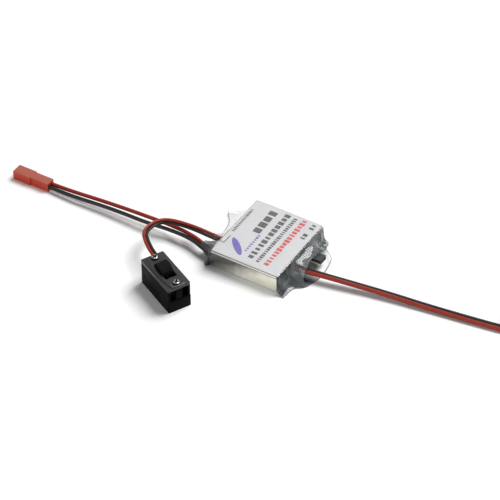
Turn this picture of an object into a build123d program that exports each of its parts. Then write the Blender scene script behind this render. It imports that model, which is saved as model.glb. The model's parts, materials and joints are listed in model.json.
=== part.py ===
from build123d import *
import math
import os

# A switching voltage regulator module for radio-control models: a tin shield can with its circuit
# board, wrapped in clear heat-shrink film, with an input lead, a lead to a slide switch, an output
# lead and a jumper that picks the output voltage.
# Millimetres. The origin is under the middle of the shield can. +X runs along the film sleeve from
# the input end to the output end, +Y across the can, +Z up.

# ---- Shield can ----
SHIELD_LENGTH = 35.9          # along X, over the cover
SHIELD_WIDTH = 41.5           # along Y, over the cover
SHIELD_HEIGHT = 9.2
TIN = 0.3                     # sheet thickness
COVER_CLEARANCE = 0.05        # between the cover's rim and the tray's wall
COVER_RIM = 1.2               # how far the rim laps down the tray
SHIELD_CORNER = 0.7           # outer corner radius, seen from above
LABEL_THICKNESS = 0.1
LABEL_MARGIN = 0.35
STANDOFF_HEIGHT = 1.25
STANDOFF_RADIUS = 1.1
STANDOFF_INSET = 3.0          # from the tray's inner walls

# ---- Film sleeve ----
FILM = 0.2
FILM_GAP = 0.05               # between the film and what it wraps
FLARE_LENGTH = 12.0           # beyond the can, at each end
FLARE_END_HEIGHT = 4.6
FLARE_END_GROWTH = 1.2        # how much wider each side of the flare is at its end
EAR_LENGTH = 4.4              # beyond the can, to the pinched corners of the flare
UPPER_LIP_LENGTH = 5.8        # beyond the can, to the upper lip of each mouth
MOUTH_LIP_HEIGHT = 1.4        # the lower lip of each mouth

# ---- Circuit board ----
LAYOUT_HALF_LENGTH = 17.0     # half sizes of the board that the places of its parts are drawn on
LAYOUT_HALF_WIDTH = 19.8
BOARD_CLEARANCE = 0.3
BOARD_THICKNESS = 1.2
SHEET_THICKNESS = 0.2
STANDOFF_HOLE_CLEARANCE = 0.2
INDUCTOR_RADIUS = 6.0
INDUCTOR_HEIGHT = 5.6
CHOKE_RADIUS = 3.9
CHOKE_HEIGHT = 4.0
FLANGE_SHARE = 0.16           # a drum core's flange, as a share of its height
CAPACITOR_RADIUS = 3.15
CAPACITOR_HEIGHT = 5.4
CAPACITOR_BASE = 6.6
CAPACITOR_BASE_HEIGHT = 0.7
CHIP_LENGTH = 5.0
CHIP_WIDTH = 3.9
CHIP_HEIGHT = 1.5
CHIP_LEG_PITCH = 1.27
CHIP_LEG_SPAN = 6.0
SOLDER_LENGTH = 2.2
SOLDER_HEIGHT = 1.5

# ---- Voltage header and jumper ----
HEADER_PITCH = 2.54
HEADER_PIN = 0.64
HEADER_BODY = 2.5
HEADER_STANDOFF = 0.35        # between the can and the header's body
HEADER_Y = 4.2                # middle pin
HEADER_PIN_REACH = 6.1        # beyond the body
HEADER_TAIL = 3.1             # from the header's body in to its tails
HEADER_TAIL_DEPTH = 0.7       # below the board
PIN_HOLE_CLEARANCE = 0.15
JUMPER_LENGTH = 6.0
JUMPER_WIDTH = 5.0
JUMPER_HEIGHT = 2.5
JUMPER_GAP = 0.4              # between the header's body and the jumper
JUMPER_CAVITY_DEPTH = 5.0
JUMPER_CAVITY_HEIGHT = 1.4
JUMPER_WALL = 0.45
CLIP_THICKNESS = 0.2

# ---- Wires ----
INPUT_WIRE = 1.9
SWITCH_WIRE = 1.5
OUTPUT_WIRE = 2.0
PAIR_GAP = 0.05               # between the two wires of a bonded pair
WIRE_CLEARANCE = 0.15         # in a cavity or a hole
WIRE_END_GAP = 0.15           # between a wire's cut end and its solder or contact
WIRE_LIFT = 0.05              # between a wire and the board that it leaves
WINDOW_HEADROOM = 0.3         # above a wire, in the wall of the can

# ---- Input connector ----
PLUG_END_X = -132.3
PLUG_Y = -14.4
PLUG_HEIGHT = 4.8
PLUG_FRONT_LENGTH = 9.9
PLUG_FRONT_WIDTH = 5.9
PLUG_REAR_LENGTH = 10.0
PLUG_REAR_WIDTH = 4.9
PLUG_WALL = 0.7
PLUG_POCKET_DEPTH = 7.5
PLUG_PITCH = 2.35
PLUG_WIRE_DEPTH = 3.0         # how far the wires go into the housing
PLUG_PIN = 0.7

# ---- Switch, in its own frame: +U along it, away from its lead, +V to the left, +Z up ----
SWITCH_X = -25.5
SWITCH_Y = -47.4
SWITCH_TURN = -27.3           # degrees about +Z
SWITCH_LENGTH = 25.0
SWITCH_WIDTH = 11.8
SWITCH_BODY_HEIGHT = 12.4
SWITCH_END_WALL = 1.2
SWITCH_SIDE_WALL = 0.85
SWITCH_FLOOR = 1.3
SWITCH_CORNER = 0.6
LID_THICKNESS = 1.3
FACE_RAISE = 0.45             # the lens-shaped face stands above the lid
FACE_MARGIN = 0.4             # at each end
FACE_END_WIDTH = 6.6
FACE_WIDTH = 10.2
SCREW_INSET = 2.6             # from the end of the switch
SCREW_RADIUS = 0.8
SCREW_HEAD_RADIUS = 1.7
SCREW_HEAD_HEIGHT = 1.0
SCREW_LENGTH = 8.0
SCREW_CLEARANCE = 0.05
BOSS_RADIUS = 1.4
SLOT_LENGTH = 11.4
SLOT_WIDTH = 6.0
KNOB_CLEARANCE = 0.2
KNOB_LENGTH = 7.9
KNOB_TRAVEL = 3.0
KNOB_RISE = 2.9               # above the lens-shaped face
KNOB_RIDGES = 7
KNOB_RIDGE_DEPTH = 0.3
KNOB_RIDGE_WIDTH = 0.5
KNOB_FLANGE = 0.7
LID_CLEARANCE = 0.2           # between the knob's flange and the lid
WINDOW_WIDTH = 3.1
WINDOW_PILLAR = 3.3
WINDOW_SILL = 6.3
CAN_GAP = 1.0                 # between the can and the screw bosses
CAN_WIDTH = 6.8
CAN_TOP = 9.0
CAN_SHEET = 0.3
CAN_BASE_Z = 4.6
CAN_BASE_THICKNESS = 0.8
TERMINAL_PITCH = 4.0
TERMINAL_THICKNESS = 0.4
SLIDER_LENGTH = 6.0
SLIDER_STEM = 2.0
SWITCH_LEAD_V = 2.95          # where the lead enters the end wall
SWITCH_LEAD_Z = 10.0

# ---- Output connector and the coil of the output lead ----
COIL_RADIUS = 12.5            # middle of the turns
COIL_TURNS = 2.1
COIL_START = (131.5, 13.4)    # where the lead runs into the coil
COIL_HEADING = 11.5           # degrees from +X at that place
TIE_THICKNESS = 0.6
TIE_WIDTH = 3.0
TIE_GAP = 0.05
SERVO_LENGTH = 14.0
SERVO_WIDTH = 7.7
SERVO_HEIGHT = 2.9
SERVO_PITCH = 2.54
SERVO_CAVITY_DEPTH = 12.0
SERVO_WIRE_DEPTH = 3.0
SERVO_WINDOW = 1.3

# ---- Heights and places that follow from the sizes above ----
shield_bottom = FILM + FILM_GAP
tray_floor = shield_bottom + TIN
board_bottom = tray_floor + STANDOFF_HEIGHT
board_top = board_bottom + BOARD_THICKNESS
shield_top = shield_bottom + SHIELD_HEIGHT
cover_under = shield_top - TIN
film_inner_top = shield_top + LABEL_THICKNESS + FILM_GAP
case_top = film_inner_top + FILM
case_half_length = SHIELD_LENGTH / 2 + FILM_GAP + FILM
case_half_width = SHIELD_WIDTH / 2 + FILM_GAP + FILM
tray_half_length = SHIELD_LENGTH / 2 - TIN - COVER_CLEARANCE
tray_half_width = SHIELD_WIDTH / 2 - TIN - COVER_CLEARANCE
inner_half_length = tray_half_length - TIN
inner_half_width = tray_half_width - TIN
board_half_length = inner_half_length - BOARD_CLEARANCE
board_half_width = inner_half_width - BOARD_CLEARANCE
sleeve_reach = case_half_length + FLARE_LENGTH
ear_reach = case_half_length + EAR_LENGTH
header_x = SHIELD_LENGTH / 2 + HEADER_STANDOFF
header_tail_x = header_x - HEADER_TAIL
header_z = board_top + HEADER_BODY / 2
pin_tip_x = header_x + HEADER_BODY + HEADER_PIN_REACH
input_seat = board_top + INPUT_WIRE / 2 + WIRE_LIFT
switch_seat = board_top + SWITCH_WIRE / 2 + WIRE_LIFT
output_seat = board_top + OUTPUT_WIRE / 2 + WIRE_LIFT
plug_step_x = PLUG_END_X + PLUG_FRONT_LENGTH
plug_rear_x = plug_step_x + PLUG_REAR_LENGTH
plug_mid_z = PLUG_HEIGHT / 2
face_top = SWITCH_BODY_HEIGHT + LID_THICKNESS + FACE_RAISE
screw_offset = SWITCH_LENGTH / 2 - SCREW_INSET
can_half_length = screw_offset - BOSS_RADIUS - CAN_GAP
lead_inner_u = -can_half_length - 1.0
coil_base = TIE_THICKNESS + TIE_GAP
coil_inner = COIL_RADIUS - OUTPUT_WIRE - PAIR_GAP
coil_outer = COIL_RADIUS + OUTPUT_WIRE + PAIR_GAP
coil_height = OUTPUT_WIRE * math.ceil(COIL_TURNS)
heading = math.radians(COIL_HEADING)
coil_centre_x = COIL_START[0] - COIL_RADIUS * math.sin(heading)
coil_centre_y = COIL_START[1] + COIL_RADIUS * math.cos(heading)

# ---- Routes of the free wires, chosen by hand, from the module outwards ----
input_red_route = [
    (-12.9, -16.3, input_seat), (-18.5, -16.3, input_seat + 0.15),
    (-24.6, -14.6, 4.7), (-33.0, -12.0, 5.0),
    (-44.5, -11.1, 5.0), (-58.5, -11.5, 4.8), (-72.5, -11.8, 4.3), (-86.0, -12.3, 3.7),
    (-98.0, -13.0, 3.1), (-106.8, -13.1, 2.6),
    (plug_rear_x - PLUG_WIRE_DEPTH, PLUG_Y + PLUG_PITCH / 2, plug_mid_z),
]
input_black_route = [
    (-12.9, -18.6, input_seat), (-18.5, -18.6, input_seat + 0.15),
    (-24.4, -17.0, 4.6), (-32.2, -14.3, 4.8),
    (-43.5, -13.9, 4.8), (-57.5, -15.2, 4.5), (-71.5, -14.8, 4.0), (-85.0, -15.1, 3.4),
    (-97.5, -15.9, 2.9), (-106.8, -15.7, 2.5),
    (plug_rear_x - PLUG_WIRE_DEPTH, PLUG_Y - PLUG_PITCH / 2, plug_mid_z),
]
switch_lead_centre = [
    (-14.8, -6.6, switch_seat), (-19.6, -6.7, switch_seat + 0.3), (-25.8, -7.2, 5.3),
    (-33.8, -8.2, 7.5), (-42.6, -9.9, 9.9), (-50.8, -12.8, 10.6), (-54.9, -19.6, 10.6),
    (-52.8, -26.8, 10.5), (-46.4, -31.2, 10.2),
]
switch_lead_rolls = [0, 4, 8, 8, 5, 0, 0, 0, 0]
output_lead_centre = [
    (14.2, -6.4, output_seat), (20.4, -5.4, output_seat + 0.15), (30.6, -3.7, 4.0),
    (45.0, -0.8, 3.2), (63.5, 2.7, 2.2), (83.0, 5.3, 1.5), (102.0, 8.0, 1.35),
    (116.8, 10.3, 1.3), (125.2, 11.9, 1.45),
]
output_lead_rolls = [0, 8, 18, 18, 14, 10, 6, 4, 2]


def block(x_range, y_range, z_range):
    """Box between two values on each axis."""
    sizes = [high - low for low, high in (x_range, y_range, z_range)]
    middles = [(high + low) / 2 for low, high in (x_range, y_range, z_range)]
    return Pos(*middles) * Box(*sizes)


def post(x, y, z_range, radius):
    """Upright cylinder between two heights."""
    low, high = z_range
    return Pos(x, y, (low + high) / 2) * Cylinder(radius, high - low)


def upright_plate(width_x, width_y, z_range, corner):
    """Plate with rounded upright edges, centred on the Z axis."""
    low, high = z_range
    outline = RectangleRounded(width_x, width_y, corner)
    return Pos(0, 0, low) * extrude(outline, high - low)


def save(name, shape):
    """Write one sub-part, as its separate solids."""
    solids = shape.solids() if hasattr(shape, "solids") else shape
    export_step(Compound(children=list(solids)), f"parts/{name}.step")


def save_group(name, pieces):
    """Write several separate solids as one node."""
    export_step(Compound(children=[solid for piece in pieces for solid in piece.solids()]),
                f"parts/{name}.step")


def cord_radii(points):
    """Radius at each corner: 0.45 of the shorter run over the tangent of half the turn."""
    radii = []
    for before, corner, after in zip(points, points[1:], points[2:]):
        run_in = Vector(*corner) - Vector(*before)
        run_out = Vector(*after) - Vector(*corner)
        half_turn = math.radians(run_in.get_angle(run_out)) / 2
        radii.append(0.45 * min(run_in.length, run_out.length) / math.tan(half_turn))
    return radii


def cord_tube(name, points, diameter):
    """Tube along straight runs joined by tangent arcs."""
    radii = cord_radii(points)
    path = FilletPolyline(*points, radius=radii)
    section = Plane(origin=points[0], z_dir=path % 0) * Circle(diameter / 2)
    tube = sweep(section, path=path)
    share = tube.volume / (math.pi * diameter ** 2 / 4 * path.length)
    print(f"{name}: length {path.length:.1f}, least radius {min(radii):.1f}, volume share {share:.4f}, "
          f"lowest {tube.bounding_box().min.Z:.2f}")
    return tube


def pair_routes(centre, spacing, rolls):
    """Routes of two bonded wires, to the right and to the left of the heading."""
    right_route = []
    left_route = []
    last = len(centre) - 1
    for index, (point, roll) in enumerate(zip(centre, rolls)):
        here = Vector(*point)
        run_out = Vector(*centre[min(index, last - 1) + 1]) - Vector(*centre[min(index, last - 1)])
        run_in = Vector(*centre[max(index, 1)]) - Vector(*centre[max(index, 1) - 1])
        heading_here = (run_in.normalized() + run_out.normalized()).normalized()
        mitre = 1 / heading_here.dot(run_out.normalized())
        right = heading_here.cross(Vector(0, 0, 1)).normalized()
        above = right.cross(heading_here)
        turn = math.radians(roll)
        side = (right * math.cos(turn) + above * math.sin(turn)) * (spacing / 2 * mitre)
        right_route.append(tuple(here + side))
        left_route.append(tuple(here - side))
    return right_route, left_route


def to_switch(shape):
    """Move a shape from the switch's own frame to its place."""
    return Pos(SWITCH_X, SWITCH_Y, 0) * Rot(0, 0, SWITCH_TURN) * shape


def switch_point(u, v, z):
    """Point in the row frame of a point in the switch's own frame."""
    turn = math.radians(SWITCH_TURN)
    x = SWITCH_X + u * math.cos(turn) - v * math.sin(turn)
    y = SWITCH_Y + u * math.sin(turn) + v * math.cos(turn)
    return (x, y, z)


def standoff_places():
    """Middles of the tray's four standoffs."""
    x = inner_half_length - STANDOFF_INSET
    y = inner_half_width - STANDOFF_INSET
    return [(sx * x, sy * y) for sx in (-1, 1) for sy in (-1, 1)]


def on_board(x, y):
    """Place on the board of a place on the layout that it is drawn from."""
    return x * board_half_length / LAYOUT_HALF_LENGTH, y * board_half_width / LAYOUT_HALF_WIDTH


# ---- Windows in the tray's end walls, each a little larger than what passes through ----
def route_at(route, x):
    """Y and Z where a route first passes X."""
    for (x0, y0, z0), (x1, y1, z1) in zip(route, route[1:]):
        if min(x0, x1) <= x <= max(x0, x1):
            share = (x - x0) / (x1 - x0)
            return y0 + share * (y1 - y0), z0 + share * (z1 - z0)
    return route[0][1:]


def wall_window(side, y_range, z_high):
    """Cutter through one end wall, from the board up."""
    x_range = sorted((side * (inner_half_length - 1), side * (tray_half_length + 1)))
    return block(x_range, y_range, (board_top - WIRE_CLEARANCE, z_high))


def wire_window(side, routes, wire):
    """Cutter through one end wall around the wires whose routes pass it."""
    faces = (side * inner_half_length, side * tray_half_length)
    crossings = [route_at(route, x) for route in routes for x in faces]
    margin = wire / 2 + WIRE_CLEARANCE
    y_values = [y for y, _ in crossings]
    z_high = max(z for _, z in crossings) + margin + WINDOW_HEADROOM
    return wall_window(side, (min(y_values) - margin, max(y_values) + margin), z_high)


def make_shield_tray():
    tray = upright_plate(2 * tray_half_length, 2 * tray_half_width, (shield_bottom, cover_under),
                         SHIELD_CORNER - TIN)
    tray -= block((-inner_half_length, inner_half_length), (-inner_half_width, inner_half_width),
                  (tray_floor, cover_under + 1))
    for x, y in standoff_places():
        tray += post(x, y, (tray_floor, board_bottom), STANDOFF_RADIUS)
    tray -= wire_window(-1, [input_red_route, input_black_route], INPUT_WIRE)
    tray -= wire_window(-1, [switch_red_route, switch_black_route], SWITCH_WIRE)
    tray -= wire_window(1, [output_red_route, output_black_route], OUTPUT_WIRE)
    header_half = 1.5 * HEADER_PITCH + WIRE_CLEARANCE
    tray -= wall_window(1, (HEADER_Y - header_half, HEADER_Y + header_half),
                        board_top + HEADER_BODY + WINDOW_HEADROOM)
    for y in led_places():
        hole = Rot(0, 90, 0) * Cylinder(0.7, 4)
        tray -= Pos(-tray_half_length, y, board_top + 0.6) * hole
    return tray


def make_shield_cover():
    z_range = (cover_under - COVER_RIM, shield_top)
    cover = upright_plate(SHIELD_LENGTH, SHIELD_WIDTH, z_range, SHIELD_CORNER)
    cover -= upright_plate(SHIELD_LENGTH - 2 * TIN, SHIELD_WIDTH - 2 * TIN,
                           (z_range[0] - 1, cover_under), SHIELD_CORNER - TIN)
    return cover


def make_label():
    return upright_plate(SHIELD_LENGTH - 2 * LABEL_MARGIN, SHIELD_WIDTH - 2 * LABEL_MARGIN,
                         (shield_top, shield_top + LABEL_THICKNESS), SHIELD_CORNER)


def flare(side, shrink):
    """Solid funnel from the can's section down to the flattened end of the sleeve."""
    root_width = 2 * (case_half_width - shrink)
    end_width = root_width + 2 * FLARE_END_GROWTH
    root_plane = Plane(origin=(side * case_half_length, 0, case_top / 2),
                       x_dir=(0, 1, 0), z_dir=(side, 0, 0))
    end_plane = Plane(origin=(side * sleeve_reach, 0, FLARE_END_HEIGHT / 2),
                      x_dir=(0, 1, 0), z_dir=(side, 0, 0))
    root = root_plane * Rectangle(root_width, case_top - 2 * shrink)
    end = end_plane * Rectangle(end_width, FLARE_END_HEIGHT - 2 * shrink)
    return loft([root, end], ruled=True)


def flare_outline(points, arc_through):
    """Upright prism over the plan outline of one flare, whose lip is an arc."""
    lip_start = len(points) // 2
    sides = Polyline(*points[:lip_start])
    lip = ThreePointArc(points[lip_start - 1], arc_through, points[lip_start])
    back = Polyline(*points[lip_start:], points[0])
    return Pos(0, 0, -1) * extrude(make_face(Curve() + [sides, lip, back]), case_top + 2)


def make_sleeve():
    """Film tube around the can, with a flared, pinched end on each side."""
    width = 2 * case_half_width
    outer = block((-case_half_length, case_half_length), (-width / 2, width / 2), (0, case_top))
    inner_half = case_half_width - FILM
    inner = block((-case_half_length - 1, case_half_length + 1), (-inner_half, inner_half),
                  (FILM, case_top - FILM))
    sleeve = fillet(outer.edges().filter_by(Axis.X), SHIELD_CORNER + FILM) - inner
    edge = case_half_width + FLARE_END_GROWTH
    right_outline = flare_outline(
        [(case_half_length, -edge), (ear_reach, -edge), (case_half_length + 8.8, -11.0),
         (case_half_length + 8.0, 13.0), (ear_reach, edge), (case_half_length, edge)],
        (sleeve_reach, 1.0))
    left_outline = flare_outline(
        [(-case_half_length, edge), (-ear_reach, edge), (-case_half_length - 10.4, 14.9),
         (-case_half_length - 9.4, -16.5), (-ear_reach, -edge), (-case_half_length, -edge)],
        (-sleeve_reach, -2.0))
    for side, outline in ((1, right_outline), (-1, left_outline)):
        skirt = (flare(side, 0) - flare(side, FILM)) & outline
        x_range = sorted((side * (case_half_length + UPPER_LIP_LENGTH), side * (sleeve_reach + 1)))
        skirt -= block(x_range, (1.1 - case_half_width, 12.0), (MOUTH_LIP_HEIGHT, case_top))
        sleeve += skirt
    return sleeve


def make_insulating_sheet():
    sheet = block((-board_half_length, board_half_length), (-board_half_width, board_half_width),
                  (tray_floor, tray_floor + SHEET_THICKNESS))
    for x, y in standoff_places():
        sheet -= post(x, y, (tray_floor - 1, board_bottom), STANDOFF_RADIUS + STANDOFF_HOLE_CLEARANCE)
    return sheet


def header_pin_places():
    """Y of each header pin."""
    return [HEADER_Y + step * HEADER_PITCH for step in (-1, 0, 1)]


def make_circuit_board():
    board = block((-board_half_length, board_half_length), (-board_half_width, board_half_width),
                  (board_bottom, board_top))
    for y in header_pin_places():
        board -= post(header_tail_x, y, (board_bottom - 1, board_top + 1),
                      HEADER_PIN / math.sqrt(2) + PIN_HOLE_CLEARANCE)
    return board


def make_thermal_pad():
    return block((-9.0, 9.0), (-2.0, 9.0), (tray_floor + SHEET_THICKNESS, board_bottom))


def drum_core(x, y, radius, height):
    """Ferrite drum: two flanges and a post."""
    flange = FLANGE_SHARE * height
    core = post(x, y, (board_top, board_top + flange), radius)
    core += post(x, y, (board_top, board_top + height), radius * 0.45)
    core += post(x, y, (board_top + height - flange, board_top + height), radius)
    return core


def drum_winding(x, y, radius, height):
    """Copper winding that fills the drum between its flanges."""
    flange = FLANGE_SHARE * height
    z_range = (board_top + flange, board_top + height - flange)
    return post(x, y, z_range, radius * 0.92) - post(x, y, z_range, radius * 0.45)


def capacitor_can(x, y):
    z_range = (board_top + CAPACITOR_BASE_HEIGHT, board_top + CAPACITOR_HEIGHT)
    can = post(x, y, z_range, CAPACITOR_RADIUS)
    return fillet(can.edges().group_by(Axis.Z)[-1], 0.4)


def capacitor_base(x, y):
    half = CAPACITOR_BASE / 2
    base = block((x - half, x + half), (y - half, y + half), (board_top, board_top + CAPACITOR_BASE_HEIGHT))
    corners = base.edges().filter_by(Axis.Z).group_by(Axis.X)[-1]
    return chamfer(corners, 1.2)


def chip_body(x, y):
    low = board_top + 0.2
    return block((x - CHIP_LENGTH / 2, x + CHIP_LENGTH / 2), (y - CHIP_WIDTH / 2, y + CHIP_WIDTH / 2),
                 (low, board_top + CHIP_HEIGHT))


def chip_legs(x, y):
    """Eight gull-wing legs, four on each long side."""
    legs = []
    for step in (-1.5, -0.5, 0.5, 1.5):
        leg_x = (x + step * CHIP_LEG_PITCH - 0.2, x + step * CHIP_LEG_PITCH + 0.2)
        for side in (-1, 1):
            near = side * CHIP_WIDTH / 2
            far = side * CHIP_LEG_SPAN / 2
            bend = near + side * 0.35
            shoulder = block(leg_x, sorted((y + near, y + bend)), (board_top + 0.65, board_top + 0.85))
            riser = block(leg_x, sorted((y + bend - side * 0.2, y + bend)), (board_top, board_top + 0.85))
            foot = block(leg_x, sorted((y + bend, y + far)), (board_top, board_top + 0.2))
            legs.append(shoulder + riser + foot)
    return legs


def small_chip(x, y, length, width, height):
    return block((x - length / 2, x + length / 2), (y - width / 2, y + width / 2),
                 (board_top, board_top + height))


def solder_joint(point, toward, wire):
    """Solder on the board at a wire's bare end. toward is +1 when the joint lies at larger X."""
    x, y, _ = point
    start = x + toward * WIRE_END_GAP
    x_range = sorted((start, start + toward * SOLDER_LENGTH))
    half = wire * 0.45
    joint = block(x_range, (y - half, y + half), (board_top, board_top + SOLDER_HEIGHT))
    return chamfer(joint.edges().group_by(Axis.Z)[-1], 0.4)


def led_places():
    """Y of each monitor lamp."""
    return (-12.9, -10.7)


def make_header_base():
    x_range = (header_x, header_x + HEADER_BODY)
    half = 1.5 * HEADER_PITCH
    z_range = (board_top, board_top + HEADER_BODY)
    base = block(x_range, (HEADER_Y - half, HEADER_Y + half), z_range)
    for y in header_pin_places():
        hole_half = HEADER_PIN / 2
        base -= block((x_range[0] - 1, x_range[1] + 1), (y - hole_half, y + hole_half),
                      (header_z - hole_half, header_z + hole_half))
    return base


def header_pin(y):
    """Right-angle pin: out through the body, and down through the board."""
    half = HEADER_PIN / 2
    arm = block((header_tail_x - half, pin_tip_x), (y - half, y + half), (header_z - half, header_z + half))
    tail = block((header_tail_x - half, header_tail_x + half), (y - half, y + half),
                 (board_bottom - HEADER_TAIL_DEPTH, header_z + half))
    return arm + tail


def jumper_ranges():
    """The jumper's place at rest, on the middle and the far pin."""
    x_low = header_x + HEADER_BODY + JUMPER_GAP
    y_mid = HEADER_Y + HEADER_PITCH / 2
    return ((x_low, x_low + JUMPER_LENGTH), (y_mid - JUMPER_WIDTH / 2, y_mid + JUMPER_WIDTH / 2),
            (header_z - JUMPER_HEIGHT / 2, header_z + JUMPER_HEIGHT / 2))


def make_jumper_cap():
    x_range, y_range, z_range = jumper_ranges()
    cap = block(x_range, y_range, z_range)
    cap = fillet(cap.edges().filter_by(Axis.X), 0.3)
    cap -= block((x_range[0] - 1, x_range[0] + JUMPER_CAVITY_DEPTH),
                 (y_range[0] + JUMPER_WALL, y_range[1] - JUMPER_WALL),
                 (header_z - JUMPER_CAVITY_HEIGHT / 2, header_z + JUMPER_CAVITY_HEIGHT / 2))
    mid = (y_range[0] + y_range[1]) / 2
    for step in (-0.5, 0.5):
        y = mid + step * HEADER_PITCH
        probe = Rot(0, 90, 0) * Cylinder(0.55, 2 * JUMPER_LENGTH)
        cap -= Pos(x_range[1], y, header_z) * probe
    return cap


def make_jumper_clip():
    """Two leaves, above and below the pins, joined by a bridge between them."""
    x_range, y_range, _ = jumper_ranges()
    half = JUMPER_CAVITY_HEIGHT / 2
    leaf_x = (x_range[0] + 0.3, x_range[0] + JUMPER_CAVITY_DEPTH)
    leaf_y = (y_range[0] + JUMPER_WALL, y_range[1] - JUMPER_WALL)
    mid = (leaf_y[0] + leaf_y[1]) / 2
    clip = block(leaf_x, leaf_y, (header_z - half, header_z - half + CLIP_THICKNESS))
    clip += block(leaf_x, leaf_y, (header_z + half - CLIP_THICKNESS, header_z + half))
    clip += block((leaf_x[1] - CLIP_THICKNESS, leaf_x[1]), (mid - 0.4, mid + 0.4),
                  (header_z - half, header_z + half))
    return clip


def plug_cavity_half():
    return INPUT_WIRE / 2 + WIRE_CLEARANCE / 2


def make_plug_housing():
    """Two-way housing: a wide hollow front, and a narrow rear with a cavity for each wire."""
    front_half = PLUG_FRONT_WIDTH / 2
    rear_half = PLUG_REAR_WIDTH / 2
    front = block((PLUG_END_X, plug_step_x), (PLUG_Y - front_half, PLUG_Y + front_half), (0, PLUG_HEIGHT))
    rear = block((plug_step_x, plug_rear_x), (PLUG_Y - rear_half, PLUG_Y + rear_half), (0, PLUG_HEIGHT))
    housing = fillet(front.edges().filter_by(Axis.X), 0.3) + fillet(rear.edges().filter_by(Axis.X), 0.3)
    pocket_half = front_half - PLUG_WALL
    housing -= block((PLUG_END_X - 1, PLUG_END_X + PLUG_POCKET_DEPTH),
                     (PLUG_Y - pocket_half, PLUG_Y + pocket_half), (PLUG_WALL, PLUG_HEIGHT - PLUG_WALL))
    half = plug_cavity_half()
    for step in (-0.5, 0.5):
        y = PLUG_Y + step * PLUG_PITCH
        housing -= block((PLUG_END_X + PLUG_POCKET_DEPTH + 0.6, plug_rear_x + 1), (y - half, y + half),
                         (plug_mid_z - half, plug_mid_z + half))
        pin_half = PLUG_PIN / 2
        housing -= block((PLUG_END_X, plug_step_x), (y - pin_half, y + pin_half),
                         (plug_mid_z - pin_half, plug_mid_z + pin_half))
    return housing


def plug_contact(y):
    """Crimp barrel behind the wire's end, with its pin out in the pocket."""
    half = plug_cavity_half()
    barrel_end = plug_rear_x - PLUG_WIRE_DEPTH - WIRE_END_GAP
    barrel = block((PLUG_END_X + PLUG_POCKET_DEPTH + 0.6, barrel_end), (y - half + 0.05, y + half - 0.05),
                   (plug_mid_z - half, plug_mid_z + half - 0.2))
    pin_half = PLUG_PIN / 2
    pin = block((PLUG_END_X + 1.2, barrel_end), (y - pin_half, y + pin_half),
                (plug_mid_z - pin_half, plug_mid_z + pin_half))
    return barrel + pin


def make_switch_housing():
    half_length = SWITCH_LENGTH / 2
    half_width = SWITCH_WIDTH / 2
    housing = upright_plate(SWITCH_LENGTH, SWITCH_WIDTH, (0, SWITCH_BODY_HEIGHT), SWITCH_CORNER)
    inner_u = half_length - SWITCH_END_WALL
    inner_v = half_width - SWITCH_SIDE_WALL
    housing -= block((-inner_u, inner_u), (-inner_v, inner_v), (SWITCH_FLOOR, SWITCH_BODY_HEIGHT + 1))
    for side in (-1, 1):
        u_range = sorted((side * screw_offset, side * (inner_u + 0.2)))
        housing += post(side * screw_offset, 0, (SWITCH_FLOOR, SWITCH_BODY_HEIGHT), BOSS_RADIUS)
        housing += block(u_range, (-BOSS_RADIUS, BOSS_RADIUS), (SWITCH_FLOOR, SWITCH_BODY_HEIGHT))
        housing -= post(side * screw_offset, 0, (SWITCH_FLOOR + 1, SWITCH_BODY_HEIGHT + 1),
                        SCREW_RADIUS + SCREW_CLEARANCE)
        window_mid = side * (WINDOW_PILLAR + WINDOW_WIDTH) / 2
        housing -= block((inner_u - 0.1, half_length + 1),
                         (window_mid - WINDOW_WIDTH / 2, window_mid + WINDOW_WIDTH / 2),
                         (WINDOW_SILL, SWITCH_BODY_HEIGHT + 1))
        rib_u = sorted((side * 5.0, side * 6.2))
        housing += block(rib_u, (-inner_v, inner_v), (SWITCH_FLOOR, CAN_BASE_Z))
    sill = block((half_length, half_length + 0.3), (-half_width + 0.2, half_width - 0.2),
                 (0, WINDOW_SILL - 0.1))
    housing += sill
    lead_half = SWITCH_WIRE + PAIR_GAP / 2 + WIRE_CLEARANCE
    housing -= block((-half_length - 1, -inner_u + 0.1),
                     (SWITCH_LEAD_V - lead_half, min(SWITCH_LEAD_V + lead_half, inner_v)),
                     (SWITCH_LEAD_Z - SWITCH_WIRE / 2 - WIRE_CLEARANCE,
                      SWITCH_LEAD_Z + SWITCH_WIRE / 2 + WIRE_CLEARANCE))
    for u, z in ((-8.4, 6.5), (3.4, 5.5)):
        dent = Rot(90, 0, 0) * Cylinder(0.5, 0.8)
        housing -= Pos(u, -half_width, z) * dent
    return housing


def face_outline():
    """Lens-shaped outline: two arcs joined by straight ends."""
    half_length = SWITCH_LENGTH / 2 - FACE_MARGIN
    half_end = FACE_END_WIDTH / 2
    half_width = FACE_WIDTH / 2
    near = ThreePointArc((-half_length, -half_end), (0, -half_width), (half_length, -half_end))
    right = Line((half_length, -half_end), (half_length, half_end))
    far = ThreePointArc((half_length, half_end), (0, half_width), (-half_length, half_end))
    left = Line((-half_length, half_end), (-half_length, -half_end))
    return make_face(Curve() + [near, right, far, left])


def make_switch_lid():
    lid = upright_plate(SWITCH_LENGTH, SWITCH_WIDTH,
                        (SWITCH_BODY_HEIGHT, SWITCH_BODY_HEIGHT + LID_THICKNESS), SWITCH_CORNER)
    lid += Pos(0, 0, face_top - FACE_RAISE) * extrude(face_outline(), FACE_RAISE)
    lid -= block((-SLOT_LENGTH / 2, SLOT_LENGTH / 2), (-SLOT_WIDTH / 2, SLOT_WIDTH / 2),
                 (SWITCH_BODY_HEIGHT - 1, face_top + 1))
    for side in (-1, 1):
        lid -= post(side * screw_offset, 0, (SWITCH_BODY_HEIGHT - 1, face_top + 1),
                    SCREW_RADIUS + SCREW_CLEARANCE)
    return lid


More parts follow.
